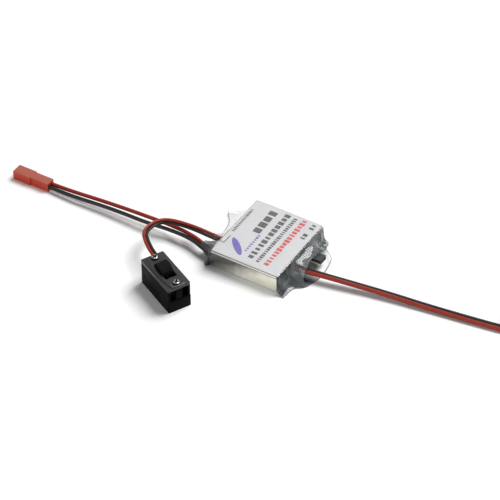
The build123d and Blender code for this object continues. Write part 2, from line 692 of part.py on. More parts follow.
def switch_screw(u):
    """Pan-head screw with a cross recess."""
    shank = post(u, 0, (face_top - SCREW_LENGTH, face_top), SCREW_RADIUS)
    head = post(u, 0, (face_top, face_top + SCREW_HEAD_HEIGHT), SCREW_HEAD_RADIUS)
    head = fillet(head.edges().group_by(Axis.Z)[-1], 0.6)
    top = face_top + SCREW_HEAD_HEIGHT
    for wide, narrow in ((2.0, 0.45), (0.45, 2.0)):
        head -= block((u - wide / 2, u + wide / 2), (-narrow / 2, narrow / 2), (top - 0.55, top + 1))
    return shank + head


def knob_range():
    """Where the knob lies along its slot at rest."""
    start = -SLOT_LENGTH / 2 + KNOB_CLEARANCE
    return start, start + KNOB_LENGTH


def make_switch_knob():
    """Domed thumb knob with ridges across it, a flange under the lid and a socket below."""
    start, end = knob_range()
    half_width = SLOT_WIDTH / 2 - KNOB_CLEARANCE
    middle = (start + end) / 2
    flange_top = SWITCH_BODY_HEIGHT - LID_CLEARANCE
    top = face_top + KNOB_RISE
    profile = make_face(Curve() + [
        Polyline((end, face_top + 0.2), (end, flange_top), (start, flange_top), (start, face_top + 0.2)),
        ThreePointArc((start, face_top + 0.2), (middle, top), (end, face_top + 0.2)),
    ])
    knob = extrude(Plane.XZ * profile, half_width, both=True)
    chord = (end - start) / 2
    rise = top - face_top - 0.2
    radius = (chord ** 2 + rise ** 2) / (2 * rise)
    centre_z = top - radius
    spread = 2 * math.degrees(math.asin(chord / radius))
    for index in range(KNOB_RIDGES):
        angle = math.radians((index + 0.5) / KNOB_RIDGES * spread - spread / 2)
        x = middle + radius * math.sin(angle)
        z = centre_z + radius * math.cos(angle)
        groove = Rot(90, 0, 0) * Cylinder(KNOB_RIDGE_WIDTH / 2, SLOT_WIDTH + 2)
        outward = KNOB_RIDGE_WIDTH / 2 - KNOB_RIDGE_DEPTH
        knob -= Pos(x + outward * math.sin(angle), 0, z + outward * math.cos(angle)) * groove
    knob += block((start - 0.8, end + 0.8), (-half_width - 0.7, half_width + 0.7),
                  (flange_top - KNOB_FLANGE, flange_top))
    socket_half = SLIDER_STEM / 2 + WIRE_CLEARANCE / 3
    knob -= block((middle - socket_half, middle + socket_half), (-socket_half, socket_half),
                  (flange_top - 2, face_top))
    return knob


def make_switch_slider():
    """Sliding block inside the metal can, with a stem up into the knob."""
    start, end = knob_range()
    middle = (start + end) / 2
    half_width = CAN_WIDTH / 2 - CAN_SHEET - 0.1
    z_low = CAN_BASE_Z + CAN_BASE_THICKNESS + 0.4
    slider = block((middle - SLIDER_LENGTH / 2, middle + SLIDER_LENGTH / 2), (-half_width, half_width),
                   (z_low, CAN_TOP - CAN_SHEET - 0.1))
    half = SLIDER_STEM / 2
    slider += block((middle - half, middle + half), (-half, half), (z_low, face_top - 0.1))
    return slider


def make_switch_can():
    """Folded metal frame of the slide switch, open below, with a slot for the stem."""
    half_u = can_half_length
    half_v = CAN_WIDTH / 2
    can = block((-half_u, half_u), (-half_v, half_v), (CAN_BASE_Z + CAN_BASE_THICKNESS, CAN_TOP))
    can -= block((-half_u + CAN_SHEET, half_u - CAN_SHEET), (-half_v + CAN_SHEET, half_v - CAN_SHEET),
                 (CAN_BASE_Z, CAN_TOP - CAN_SHEET))
    start, end = knob_range()
    middle = (start + end) / 2
    reach = SLIDER_STEM / 2 + 0.2
    can -= block((middle - reach, middle + KNOB_TRAVEL + reach), (-reach, reach),
                 (CAN_TOP - 1, CAN_TOP + 1))
    return can


def terminal_places():
    """U of the three terminals under the slide switch."""
    return [step * TERMINAL_PITCH for step in (-1, 0, 1)]


def make_switch_base():
    half_u = can_half_length
    half_v = CAN_WIDTH / 2
    base = block((-half_u, half_u), (-half_v, half_v), (CAN_BASE_Z, CAN_BASE_Z + CAN_BASE_THICKNESS))
    for u in terminal_places():
        base -= terminal(u)
    return base


def terminal(u):
    """Flat contact that runs through the base and ends below it."""
    half = TERMINAL_THICKNESS / 2
    z_range = (SWITCH_FLOOR + 0.8, CAN_BASE_Z + CAN_BASE_THICKNESS + 0.2)
    return block((u - half, u + half), (-0.7, 0.7), z_range)


def switch_wire_v():
    """V of the two wires where they enter the switch."""
    half = (SWITCH_WIRE + PAIR_GAP) / 2
    return SWITCH_LEAD_V - half, SWITCH_LEAD_V + half


def switch_lug(v):
    """Lug bent up from the end of the base to a wire's bare end."""
    half = SWITCH_WIRE / 2 - 0.2
    outer_u = -can_half_length
    z_top = SWITCH_LEAD_Z + SWITCH_WIRE / 2
    return block((outer_u - 0.5, outer_u - 0.1), (v - half, v + half), (CAN_BASE_Z, z_top))


def switch_foot():
    """Strip that carries both lugs, under the end of the base."""
    low, high = switch_wire_v()
    half = SWITCH_WIRE / 2 - 0.2
    return block((-can_half_length - 0.5, 1.3 - can_half_length),
                 (low - half, min(high, CAN_WIDTH / 2) + half),
                 (CAN_BASE_Z - 0.4, CAN_BASE_Z))


def coil_point(angle, radius):
    """Point at an angle in degrees round the coil's middle."""
    turn = math.radians(angle)
    return coil_centre_x + radius * math.cos(turn), coil_centre_y + radius * math.sin(turn)


def make_output_coil():
    """Outer shape of the wound lead."""
    z_range = (coil_base, coil_base + coil_height)
    ring = post(coil_centre_x, coil_centre_y, z_range, coil_outer)
    return ring - post(coil_centre_x, coil_centre_y, z_range, coil_inner)


def make_coil_tie():
    """Strap round the coil's section."""
    inner = (coil_inner - TIE_GAP, coil_outer + TIE_GAP)
    outer = (inner[0] - TIE_THICKNESS, inner[1] + TIE_THICKNESS)
    top = coil_base + coil_height + TIE_GAP
    half = TIE_WIDTH / 2
    strap = block(outer, (-half, half), (0, top + TIE_THICKNESS))
    strap -= block(inner, (-half - 1, half + 1), (TIE_THICKNESS, top))
    # The ring bulges past the strap's straight sides, so its own shape is taken out as well.
    placed = Pos(coil_centre_x, coil_centre_y, 0) * Rot(0, 0, 60) * strap
    z_range = (TIE_THICKNESS, top)
    bulge = post(coil_centre_x, coil_centre_y, z_range, coil_outer + TIE_GAP)
    bulge -= post(coil_centre_x, coil_centre_y, z_range, coil_inner - TIE_GAP)
    return placed - bulge


# The lead leaves the coil along its tangent, comes down to the floor and ends in the connector.
tail_angle = COIL_HEADING - 90 + 360 * COIL_TURNS
tail_heading = tail_angle + 90


def tail_point(ahead, left, z):
    """Point beyond the end of the coil, along and beside the tangent there."""
    x, y = coil_point(tail_angle, COIL_RADIUS)
    turn = math.radians(tail_heading)
    return (x + ahead * math.cos(turn) - left * math.sin(turn),
            y + ahead * math.sin(turn) + left * math.cos(turn), z)


def to_servo(shape):
    """Move a shape from the output connector's own frame, which starts at its wire end."""
    x, y, _ = servo_start
    return Pos(x, y, 0) * Rot(0, 0, servo_heading) * Pos(0, -SERVO_PITCH / 2, 0) * shape


tail_top = coil_base + coil_height - OUTPUT_WIRE / 2
output_tail_centre = [
    tail_point(0.6, 0.0, tail_top), tail_point(6.6, -0.1, 4.2), tail_point(13.5, -1.0, 1.9),
    tail_point(20.8, -3.2, SERVO_HEIGHT / 2),
]
servo_heading = tail_heading - 17.0
servo_turn = math.radians(servo_heading)
last_tail = output_tail_centre[-1]
servo_start = (last_tail[0] + 4.0 * math.cos(servo_turn), last_tail[1] + 4.0 * math.sin(servo_turn), 0)
output_tail_centre.append((servo_start[0] + SERVO_WIRE_DEPTH * math.cos(servo_turn),
                           servo_start[1] + SERVO_WIRE_DEPTH * math.sin(servo_turn), SERVO_HEIGHT / 2))


def servo_cavity_places():
    """Y of the three cavities in the output connector's own frame."""
    return [step * SERVO_PITCH for step in (-1, 0, 1)]


def make_servo_housing():
    """Three-way housing with a cavity and a latch window for each contact."""
    housing = block((0, SERVO_LENGTH), (-SERVO_WIDTH / 2, SERVO_WIDTH / 2), (0, SERVO_HEIGHT))
    housing = fillet(housing.edges().filter_by(Axis.X), 0.25)
    half = OUTPUT_WIRE / 2 + WIRE_CLEARANCE / 2
    for y in servo_cavity_places():
        housing -= block((-1, SERVO_CAVITY_DEPTH), (y - half, y + half),
                         (SERVO_HEIGHT / 2 - half, SERVO_HEIGHT / 2 + half))
        housing -= block((SERVO_CAVITY_DEPTH - 1, SERVO_LENGTH + 1), (y - 0.45, y + 0.45),
                         (SERVO_HEIGHT / 2 - 0.45, SERVO_HEIGHT / 2 + 0.45))
        housing -= block((7.0, 7.0 + 2.2), (y - SERVO_WINDOW / 2, y + SERVO_WINDOW / 2),
                         (SERVO_HEIGHT / 2, SERVO_HEIGHT + 1))
    return housing


def servo_contact(y):
    """Crimp barrel that fills its cavity behind the wire's end."""
    half = OUTPUT_WIRE / 2 - 0.1
    mid = SERVO_HEIGHT / 2
    contact = block((SERVO_WIRE_DEPTH + WIRE_END_GAP, SERVO_CAVITY_DEPTH), (y - half, y + half),
                    (mid - half - 0.1 - WIRE_CLEARANCE / 2, mid + half))
    bore = block((SERVO_CAVITY_DEPTH - 7, SERVO_CAVITY_DEPTH + 1), (y - 0.4, y + 0.4),
                 (mid - 0.4, mid + 0.4))
    return contact - bore


# ---- Routes of the bonded pairs, with the ends that their switch and coil give them ----
switch_lead_centre.append(switch_point(-SWITCH_LENGTH / 2 - 4.6, SWITCH_LEAD_V + 0.05,
                                       SWITCH_LEAD_Z + 0.05))
switch_lead_centre.append(switch_point(lead_inner_u, SWITCH_LEAD_V, SWITCH_LEAD_Z))
switch_lead_rolls += [0, 0]
switch_red_route, switch_black_route = pair_routes(switch_lead_centre, SWITCH_WIRE + PAIR_GAP,
                                                   switch_lead_rolls)
coil_touch = (COIL_START[0] - 1.0 * math.cos(heading), COIL_START[1] - 1.0 * math.sin(heading),
              coil_base + OUTPUT_WIRE / 2)
output_red_route, output_black_route = pair_routes(output_lead_centre + [coil_touch],
                                                   OUTPUT_WIRE + PAIR_GAP, output_lead_rolls + [0])

os.makedirs("parts", exist_ok=True)

# ---- Can, film and board ----
save("shield_tray", make_shield_tray())
save("shield_cover", make_shield_cover())
save("label", make_label())
save("heat_shrink_sleeve", make_sleeve())
save("insulating_sheet", make_insulating_sheet())
save("thermal_pad", make_thermal_pad())
save("circuit_board", make_circuit_board())

# ---- Parts on the board ----
inductor = (*on_board(-1.0, -8.2), INDUCTOR_RADIUS, INDUCTOR_HEIGHT)
choke = (*on_board(9.4, -13.2), CHOKE_RADIUS, CHOKE_HEIGHT)
save("inductor_core", drum_core(*inductor))
save("inductor_winding", drum_winding(*inductor))
save("filter_choke_core", drum_core(*choke))
save("filter_choke_winding", drum_winding(*choke))
input_capacitor_places = [on_board(-12.6, 3.2), on_board(-12.6, 10.4)]
output_capacitor_places = [on_board(-3.6, 15.0), on_board(3.6, 15.0), on_board(10.8, 13.8)]
save_group("input_capacitors", [capacitor_can(*place) for place in input_capacitor_places])
save_group("output_capacitors", [capacitor_can(*place) for place in output_capacitor_places])
save_group("capacitor_bases",
           [capacitor_base(*place) for place in input_capacitor_places + output_capacitor_places])
transistor_places = [on_board(-4.8, 3.4), on_board(1.4, 3.4)]
controller_place = on_board(7.6, 3.4)
save_group("power_transistors", [chip_body(*place) for place in transistor_places])
save("controller_chip", chip_body(*controller_place))
save_group("chip_legs", [leg for place in transistor_places + [controller_place]
                         for leg in chip_legs(*place)])
save("rectifier_diode", small_chip(*on_board(8.2, -4.0), 6.6, 5.0, 2.3))
save("sense_resistor", small_chip(*on_board(-11.4, -10.4), 3.1, 4.6, 0.6))
save_group("ceramic_chips",
           [small_chip(*on_board(-7.0 + 3.0 * step, 9.4), 2.0, 1.25, 1.1) for step in range(6)])
save_group("monitor_lamps", [small_chip(-board_half_length + 0.9, y, 1.6, 0.9, 1.0) for y in led_places()])

# ---- Voltage header and its jumper ----
save("header_base", make_header_base())
save_group("header_pins", [header_pin(y) for y in header_pin_places()])
save("jumper_cap", make_jumper_cap())
save("jumper_clip", make_jumper_clip())

# ---- Input lead and its connector ----
save("input_wire_red", cord_tube("input_wire_red", input_red_route, INPUT_WIRE))
save("input_wire_black", cord_tube("input_wire_black", input_black_route, INPUT_WIRE))
save("input_connector_housing", make_plug_housing())
save_group("input_connector_contacts",
           [plug_contact(PLUG_Y + step * PLUG_PITCH) for step in (-0.5, 0.5)])

# ---- Switch lead ----
save("switch_wire_red", cord_tube("switch_wire_red", switch_red_route, SWITCH_WIRE))
save("switch_wire_black", cord_tube("switch_wire_black", switch_black_route, SWITCH_WIRE))

# ---- Switch ----
save("switch_housing", to_switch(make_switch_housing()))
save("switch_lid", to_switch(make_switch_lid()))
save_group("switch_screws", [to_switch(switch_screw(side * screw_offset)) for side in (-1, 1)])
save("switch_knob", to_switch(make_switch_knob()))
save("switch_slider", to_switch(make_switch_slider()))
save("switch_can", to_switch(make_switch_can()))
save("switch_base", to_switch(make_switch_base()))
save_group("switch_terminals",
           [to_switch(terminal(u)) for u in terminal_places()]
           + [to_switch(switch_foot())]
           + [to_switch(switch_lug(v)) for v in switch_wire_v()])
save_group("switch_solder_joints", [
    to_switch(block((lead_inner_u + WIRE_END_GAP, -can_half_length - 0.5), (v - 0.5, v + 0.5),
                    (SWITCH_LEAD_Z - 0.5, SWITCH_LEAD_Z + 0.5))) for v in switch_wire_v()])

# ---- Output lead, its coil and its connector ----
tail_red_route, tail_black_route = pair_routes(output_tail_centre, SERVO_PITCH, [0] * 5)
# Each tube stops at the coil's outer face, so the coil's whole disc is cut from it.
coil_disc = post(coil_centre_x, coil_centre_y, (-OUTPUT_WIRE, coil_height + 4 * OUTPUT_WIRE), coil_outer)
for name, route in (("output_wire_red", output_red_route), ("output_wire_black", output_black_route),
                    ("output_tail_red", tail_red_route), ("output_tail_black", tail_black_route)):
    save(name, cord_tube(name, route, OUTPUT_WIRE) - coil_disc)
save("output_coil", make_output_coil())
save("coil_tie", make_coil_tie())
save("output_connector_housing", to_servo(make_servo_housing()))
save_group("output_connector_contacts", [to_servo(servo_contact(y)) for y in servo_cavity_places()])

# ---- Solder where the wires meet the board ----
joints = [solder_joint(route[0], 1, INPUT_WIRE) for route in (input_red_route, input_black_route)]
joints += [solder_joint(route[0], 1, SWITCH_WIRE) for route in (switch_red_route, switch_black_route)]
joints += [solder_joint(route[0], -1, OUTPUT_WIRE) for route in (output_red_route, output_black_route)]
save_group("solder_joints", joints)
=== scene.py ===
"""Finished model of a film-wrapped voltage regulator module, its leads, plugs, switch and jumper.

Everything is in metres in the part's own frame. Sizes are given in millimetres, as a maker would
read them off a drawing, and are turned into metres where a mesh or a curve is made.
"""
import json
import logging
import math
from dataclasses import dataclass, field
from enum import Enum
from functools import cache

import bmesh
import bpy
from mathutils import Matrix, Vector, noise

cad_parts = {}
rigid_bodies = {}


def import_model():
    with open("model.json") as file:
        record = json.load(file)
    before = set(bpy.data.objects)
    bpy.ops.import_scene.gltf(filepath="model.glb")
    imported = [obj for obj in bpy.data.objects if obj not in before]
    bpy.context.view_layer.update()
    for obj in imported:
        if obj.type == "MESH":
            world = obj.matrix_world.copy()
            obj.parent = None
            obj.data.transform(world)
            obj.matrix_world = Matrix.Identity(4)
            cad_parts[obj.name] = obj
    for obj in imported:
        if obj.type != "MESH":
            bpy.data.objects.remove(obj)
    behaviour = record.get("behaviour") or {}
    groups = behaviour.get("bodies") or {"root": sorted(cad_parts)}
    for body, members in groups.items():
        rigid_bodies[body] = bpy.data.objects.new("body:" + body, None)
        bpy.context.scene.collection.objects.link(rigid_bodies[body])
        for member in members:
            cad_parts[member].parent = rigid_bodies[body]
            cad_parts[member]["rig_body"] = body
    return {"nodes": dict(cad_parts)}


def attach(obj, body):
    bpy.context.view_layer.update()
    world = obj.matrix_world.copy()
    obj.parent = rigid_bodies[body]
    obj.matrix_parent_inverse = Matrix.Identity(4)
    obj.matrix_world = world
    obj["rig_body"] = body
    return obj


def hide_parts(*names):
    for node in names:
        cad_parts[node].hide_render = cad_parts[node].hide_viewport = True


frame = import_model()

log = logging.getLogger("regulator_module")
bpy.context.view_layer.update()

MM = 0.001
MODULE = "module"
KNOB = "knob"
CAN_END = 18.2      # where the film lets go of the can and the leads come out, in mm

Point = tuple[float, float, float]
Colour = tuple[float, float, float, float]
Socket = bpy.types.NodeSocket
Table = list[tuple[float, float]]


# ---------------------------------------------------------------------------------------------
# Small helpers
# ---------------------------------------------------------------------------------------------
def metres(point: Point) -> Vector:
    """Turn a point in millimetres into a vector in metres."""
    return Vector(point) * MM


def tint(red: int, green: int, blue: int) -> Colour:
    """Turn a colour as a paint card gives it, 0 to 255, into linear light.

    Args:
        red: Red, 0 to 255.
        green: Green, 0 to 255.
        blue: Blue, 0 to 255.

    Returns:
        Linear red, green, blue and a full alpha.
    """
    def linear(value: int) -> float:
        share = value / 255
        return share / 12.92 if share <= 0.04045 else ((share + 0.055) / 1.055) ** 2.4
    return linear(red), linear(green), linear(blue), 1.0


def eased(table: Table, place: float) -> float:
    """Read a smooth curve through a few given points.

    Args:
        table: Pairs of a place and the value there, in rising order of place.
        place: Where the curve is read.

    Returns:
        The value on a cubic whose slope at each point follows the points beside it.
    """
    if place <= table[0][0]:
        return table[0][1]
    if place >= table[-1][0]:
        return table[-1][1]
    after = next(index for index, (edge, _) in enumerate(table) if edge > place)

    def slope(index: int) -> float:
        before, beyond = table[max(index - 1, 0)], table[min(index + 1, len(table) - 1)]
        return (beyond[1] - before[1]) / (beyond[0] - before[0])
    (low, value_low), (high, value_high) = table[after - 1], table[after]
    span = high - low
    t = (place - low) / span
    rise = 3 * t ** 2 - 2 * t ** 3
    leaving, arriving = t ** 3 - 2 * t ** 2 + t, t ** 3 - t ** 2
    return ((1 - rise) * value_low + rise * value_high
            + span * (leaving * slope(after - 1) + arriving * slope(after)))


def new_object(name: str, data: bpy.types.ID) -> bpy.types.Object:
    """Link new data to the scene at the origin.

    Args:
        name: The object's name.
        data: A mesh, curve, camera or lamp.

    Returns:
        The object.
    """
    piece = bpy.data.objects.new(name, data)
    bpy.context.scene.collection.objects.link(piece)
    return piece


def mesh_of(name: str, points: list[Vector], faces: list[tuple[int, ...]]) -> bpy.types.Mesh:
    """Make a mesh.

    Args:
        name: Its name.
        points: Its points, in metres.
        faces: The points of each face, by their places in that list.

    Returns:
        The mesh.
    """
    mesh = bpy.data.meshes.new(name)
    mesh.from_pydata(points, [], faces)
    mesh.update()
    return mesh


def plain_mesh(piece: bpy.types.Object) -> None:
    """Turn a piece's modifiers into plain mesh and take them off.

    Args:
        piece: The object whose evaluated shape is kept.
    """
    bpy.context.view_layer.update()
    shaped = piece.evaluated_get(bpy.context.evaluated_depsgraph_get())
    mesh = bpy.data.meshes.new_from_object(shaped)
    piece.modifiers.clear()
    piece.data = mesh


def smooth(piece: bpy.types.Object, angle: float = 35.0) -> None:
    """Shade a mesh smooth, with edges sharper than an angle in degrees kept crisp."""
    piece.data.polygons.foreach_set("use_smooth", [True] * len(piece.data.polygons))
    piece.data.set_sharp_from_angle(angle=math.radians(angle))


def seat(piece: bpy.types.Object, body: str, slot: str, *nodes: str) -> bpy.types.Object:
    """Let a finished piece ride on its body and stand for its plain solids.

    Args:
        piece: The finished piece.
        body: The body that it moves with.
        slot: The material slot of the piece's finish; not used.
        nodes: The plain solids that it stands for.

    Returns:
        The piece.
    """
    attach(piece, body)
    if nodes:
        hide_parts(*nodes)
    log.info("%s: on %s, stands for %s", piece.name, body, ", ".join(nodes) or "nothing")
    return piece


# ---------------------------------------------------------------------------------------------
# Finishes
# ---------------------------------------------------------------------------------------------
class Wiring:
    """Short ways to add and join the nodes of one tree."""

    def __init__(self, tree: bpy.types.NodeTree) -> None:
        """Keep the tree whose nodes are added."""
        self.tree = tree

    def add(self, kind: str, inputs: dict[str | int, object] | None = None,
            **settings: object) -> bpy.types.Node:
        """Add a node, set its properties and then feed its inputs.

        Args:
            kind: The kind of node.
            inputs: A socket or a value for each input that isn't left as it is.
            settings: A value for each property that isn't left as it is.

        Returns:
            The node.
        """
        node = self.tree.nodes.new(kind)
        for name, value in settings.items():
            setattr(node, name, value)
        for key, value in (inputs or {}).items():
            self.feed(node, key, value)
        return node

    def feed(self, node: bpy.types.Node, key: str | int, value: object) -> None:
        """Link a socket to an input, or set the input to a value."""
        if isinstance(value, Socket):
            self.tree.links.new(value, node.inputs[key])
        else:
            node.inputs[key].default_value = value

    def place(self) -> Socket:
        """Object coordinates."""
        return self.add("ShaderNodeTexCoord").outputs["Object"]

    def stretched(self, vector: Socket, scale: Point) -> Socket:
        """Coordinates stretched by a factor along each axis."""
        return self.add("ShaderNodeMapping", {"Vector": vector, "Scale": scale}).outputs["Vector"]

    def cloud(self, vector: Socket, scale: object, detail: float = 3.0) -> Socket:
        """Noise from 0 to 1 over the given coordinates."""
        return self.add("ShaderNodeTexNoise", {"Vector": vector, "Scale": scale,
                                               "Detail": detail}).outputs["Fac"]

    def span(self, value: object, low: object, high: object, to_low: object = 0.0,
             to_high: object = 1.0) -> Socket:
        """Map one range of values to another, held at its ends."""
        return self.add("ShaderNodeMapRange", {"Value": value, "From Min": low, "From Max": high,
                                               "To Min": to_low, "To Max": to_high},
                        clamp=True).outputs["Result"]

    def maths(self, operation: str, first: object, second: object) -> Socket:
        """One step of arithmetic."""
        return self.add("ShaderNodeMath", {0: first, 1: second}, operation=operation).outputs[0]

    def blend(self, share: object, first: object, second: object) -> Socket:
        """Mix two colours, on the sockets that a Mix node keeps for colours."""
        return self.add("ShaderNodeMix", {0: share, 6: first, 7: second},
                        data_type="RGBA").outputs[2]

    def axis(self, vector: Socket, name: str) -> Socket:
        """One axis of the coordinates."""
        return self.add("ShaderNodeSeparateXYZ", {0: vector}).outputs[name]


class Group(Wiring):
    """A node group, wired between its own named inputs and outputs."""

    def __init__(self, name: str, kind: str, inputs: dict[str, str],
                 outputs: dict[str, str]) -> None:
        """Make the tree and its sockets.

        Args:
            name: The group's name.
            kind: The kind of tree.
            inputs: What each named input takes, such as Float or Color.
            outputs: What each named output gives.
        """
        super().__init__(bpy.data.node_groups.new(name, kind))
        for way, sockets in (("INPUT", inputs), ("OUTPUT", outputs)):
            for label, value in sockets.items():
                self.tree.interface.new_socket(label, in_out=way, socket_type=f"NodeSocket{value}")
        self.given = self.add("NodeGroupInput").outputs
        self.result = self.add("NodeGroupOutput")

    def copy_onto(self, points: Socket, shape: Socket, finish: Socket,
                  scale: object = (1.0, 1.0, 1.0)) -> None:
        """End a geometry tree with a shape copied onto points, made real and given its material.

        Args:
            points: The points.
            shape: The shape that stands on each of them.
            finish: The copies' material.
            scale: The copies' size along each axis.
        """
        self.tree.is_modifier = True
        copies = self.add("GeometryNodeInstanceOnPoints",
                          {"Points": points, "Instance": shape, "Scale": scale})
        real = self.add("GeometryNodeRealizeInstances", {0: copies.outputs[0]})
        dressed = self.add("GeometryNodeSetMaterial",
                           {"Geometry": real.outputs[0], "Material": finish})
        self.feed(self.result, 0, dressed.outputs[0])


@cache
def unevenness_group() -> bpy.types.NodeTree:
    """Group for the small unevenness that every real surface has.

    Returns:
        A node group that puts out a colour, a roughness and a height that vary over the surface.
    """
    group = Group("surface_unevenness", "ShaderNodeTree",
                  {"Colour": "Color", "Patch Colour": "Color", "Patch Scale": "Float",
                   "Patch Share": "Float", "Grain Scale": "Float", "Roughness": "Float",
                   "Roughness Spread": "Float"},
                  {"Colour": "Color", "Roughness": "Float", "Height": "Float"})
    patch_edge, patch_full = 0.38, 0.68
    grain_detail, swing_fineness = 4.0, 2.6
    place, given = group.place(), group.given
    patches = group.span(group.cloud(place, given["Patch Scale"]), patch_edge, patch_full)
    share = group.maths("MULTIPLY", patches, given["Patch Share"])
    fine = group.maths("MULTIPLY", given["Patch Scale"], swing_fineness)
    swing = group.maths("SUBTRACT", group.cloud(place, fine), 0.5)
    spread = group.maths("MULTIPLY", swing, given["Roughness Spread"])
    group.feed(group.result, "Colour", group.blend(share, given["Colour"], given["Patch Colour"]))
    group.feed(group.result, "Roughness", group.maths("ADD", given["Roughness"], spread))
    group.feed(group.result, "Height", group.cloud(place, given["Grain Scale"], grain_detail))
    return group.tree


@cache
def streak_group() -> bpy.types.NodeTree:
    """Group for soft streaks that run up a wall, used for the painted reflection streaks on the
    can's end wall.

    Returns:
        A node group that puts out one mask from 0 to 1.
    """
    group = Group("upright_streaks", "ShaderNodeTree",
                  {"Width Scale": "Float", "Height Scale": "Float"}, {"Mask": "Float"})
    streak_edge, streak_full, streak_detail = 0.35, 0.7, 4.0
    place = group.place()
    squeezed = {name: group.maths("MULTIPLY", group.axis(place, name), group.given[scale])
                for name, scale in (("X", "Width Scale"), ("Y", "Width Scale"),
                                    ("Z", "Height Scale"))}
    vector = group.add("ShaderNodeCombineXYZ", squeezed).outputs[0]
    group.feed(group.result, "Mask",
               group.span(group.cloud(vector, 1.0, streak_detail), streak_edge, streak_full))
    return group.tree


@dataclass(frozen=True)
class Finish:
    """A finish: its colour, its gloss and the unevenness that the real surface shows.

    Scales are in features per metre, and the bump is in millimetres. Without a patch colour the
    patches are a darker shade of the colour.
    """

    name: str
    slot: str
    colour: Colour
    roughness: float = 0.5
    metallic: float = 0.0
    coat: float = 0.0
    coat_roughness: float = 0.12
    specular: float = 0.5
    patch: Colour | None = None
    patch_shade: float = 0.72
    patch_share: float = 0.5
    patch_scale: float = 260.0
    grain_scale: float = 2600.0
    roughness_spread: float = 0.12
    bump: float = 0.01
    emission: float = 0.0

    def material(self) -> bpy.types.Material:
        """Build the material, or give the one that is built already.

        Returns:
            The material.
        """
        if self.name not in bpy.data.materials:
            material = bpy.data.materials.new(self.name)
            material.use_nodes = True
            self.paint(Wiring(material.node_tree), material.node_tree.nodes["Principled BSDF"])
        return bpy.data.materials[self.name]

    def paint(self, wiring: Wiring, shader: bpy.types.Node) -> None:
        """Set the shader, and join what varies over the surface to it.

        Args:
            wiring: The material's tree.
            shader: Its shader.
        """
        for key, value in (("Metallic", self.metallic), ("Coat Weight", self.coat),
                           ("Coat Roughness", self.coat_roughness),
                           ("Specular IOR Level", self.specular),
                           ("Emission Color", self.colour), ("Emission Strength", self.emission)):
            shader.inputs[key].default_value = value
        uneven = wiring.add("ShaderNodeGroup", node_tree=unevenness_group())
        darker = tuple(self.patch_shade * value for value in self.colour[:3]) + (1.0,)
        for key, value in (("Colour", self.colour), ("Patch Colour", self.patch or darker),
                           ("Patch Scale", self.patch_scale), ("Patch Share", self.patch_share),
                           ("Grain Scale", self.grain_scale), ("Roughness", self.roughness),
                           ("Roughness Spread", self.roughness_spread)):
            uneven.inputs[key].default_value = value
        colour, roughness = self.varied(wiring, uneven.outputs["Colour"],
                                        uneven.outputs["Roughness"])
        wiring.feed(shader, "Base Color", colour)
        wiring.feed(shader, "Roughness", roughness)
        ripple = wiring.add("ShaderNodeBump", {"Strength": 1.0, "Distance": self.bump * MM,
                                               "Height": uneven.outputs["Height"]})
        wiring.feed(shader, "Normal", ripple.outputs["Normal"])

    def varied(self, wiring: Wiring, colour: Socket, roughness: Socket) -> tuple[Socket, Socket]:
        """Colour and roughness with what this kind of finish adds to the unevenness."""
        return colour, roughness


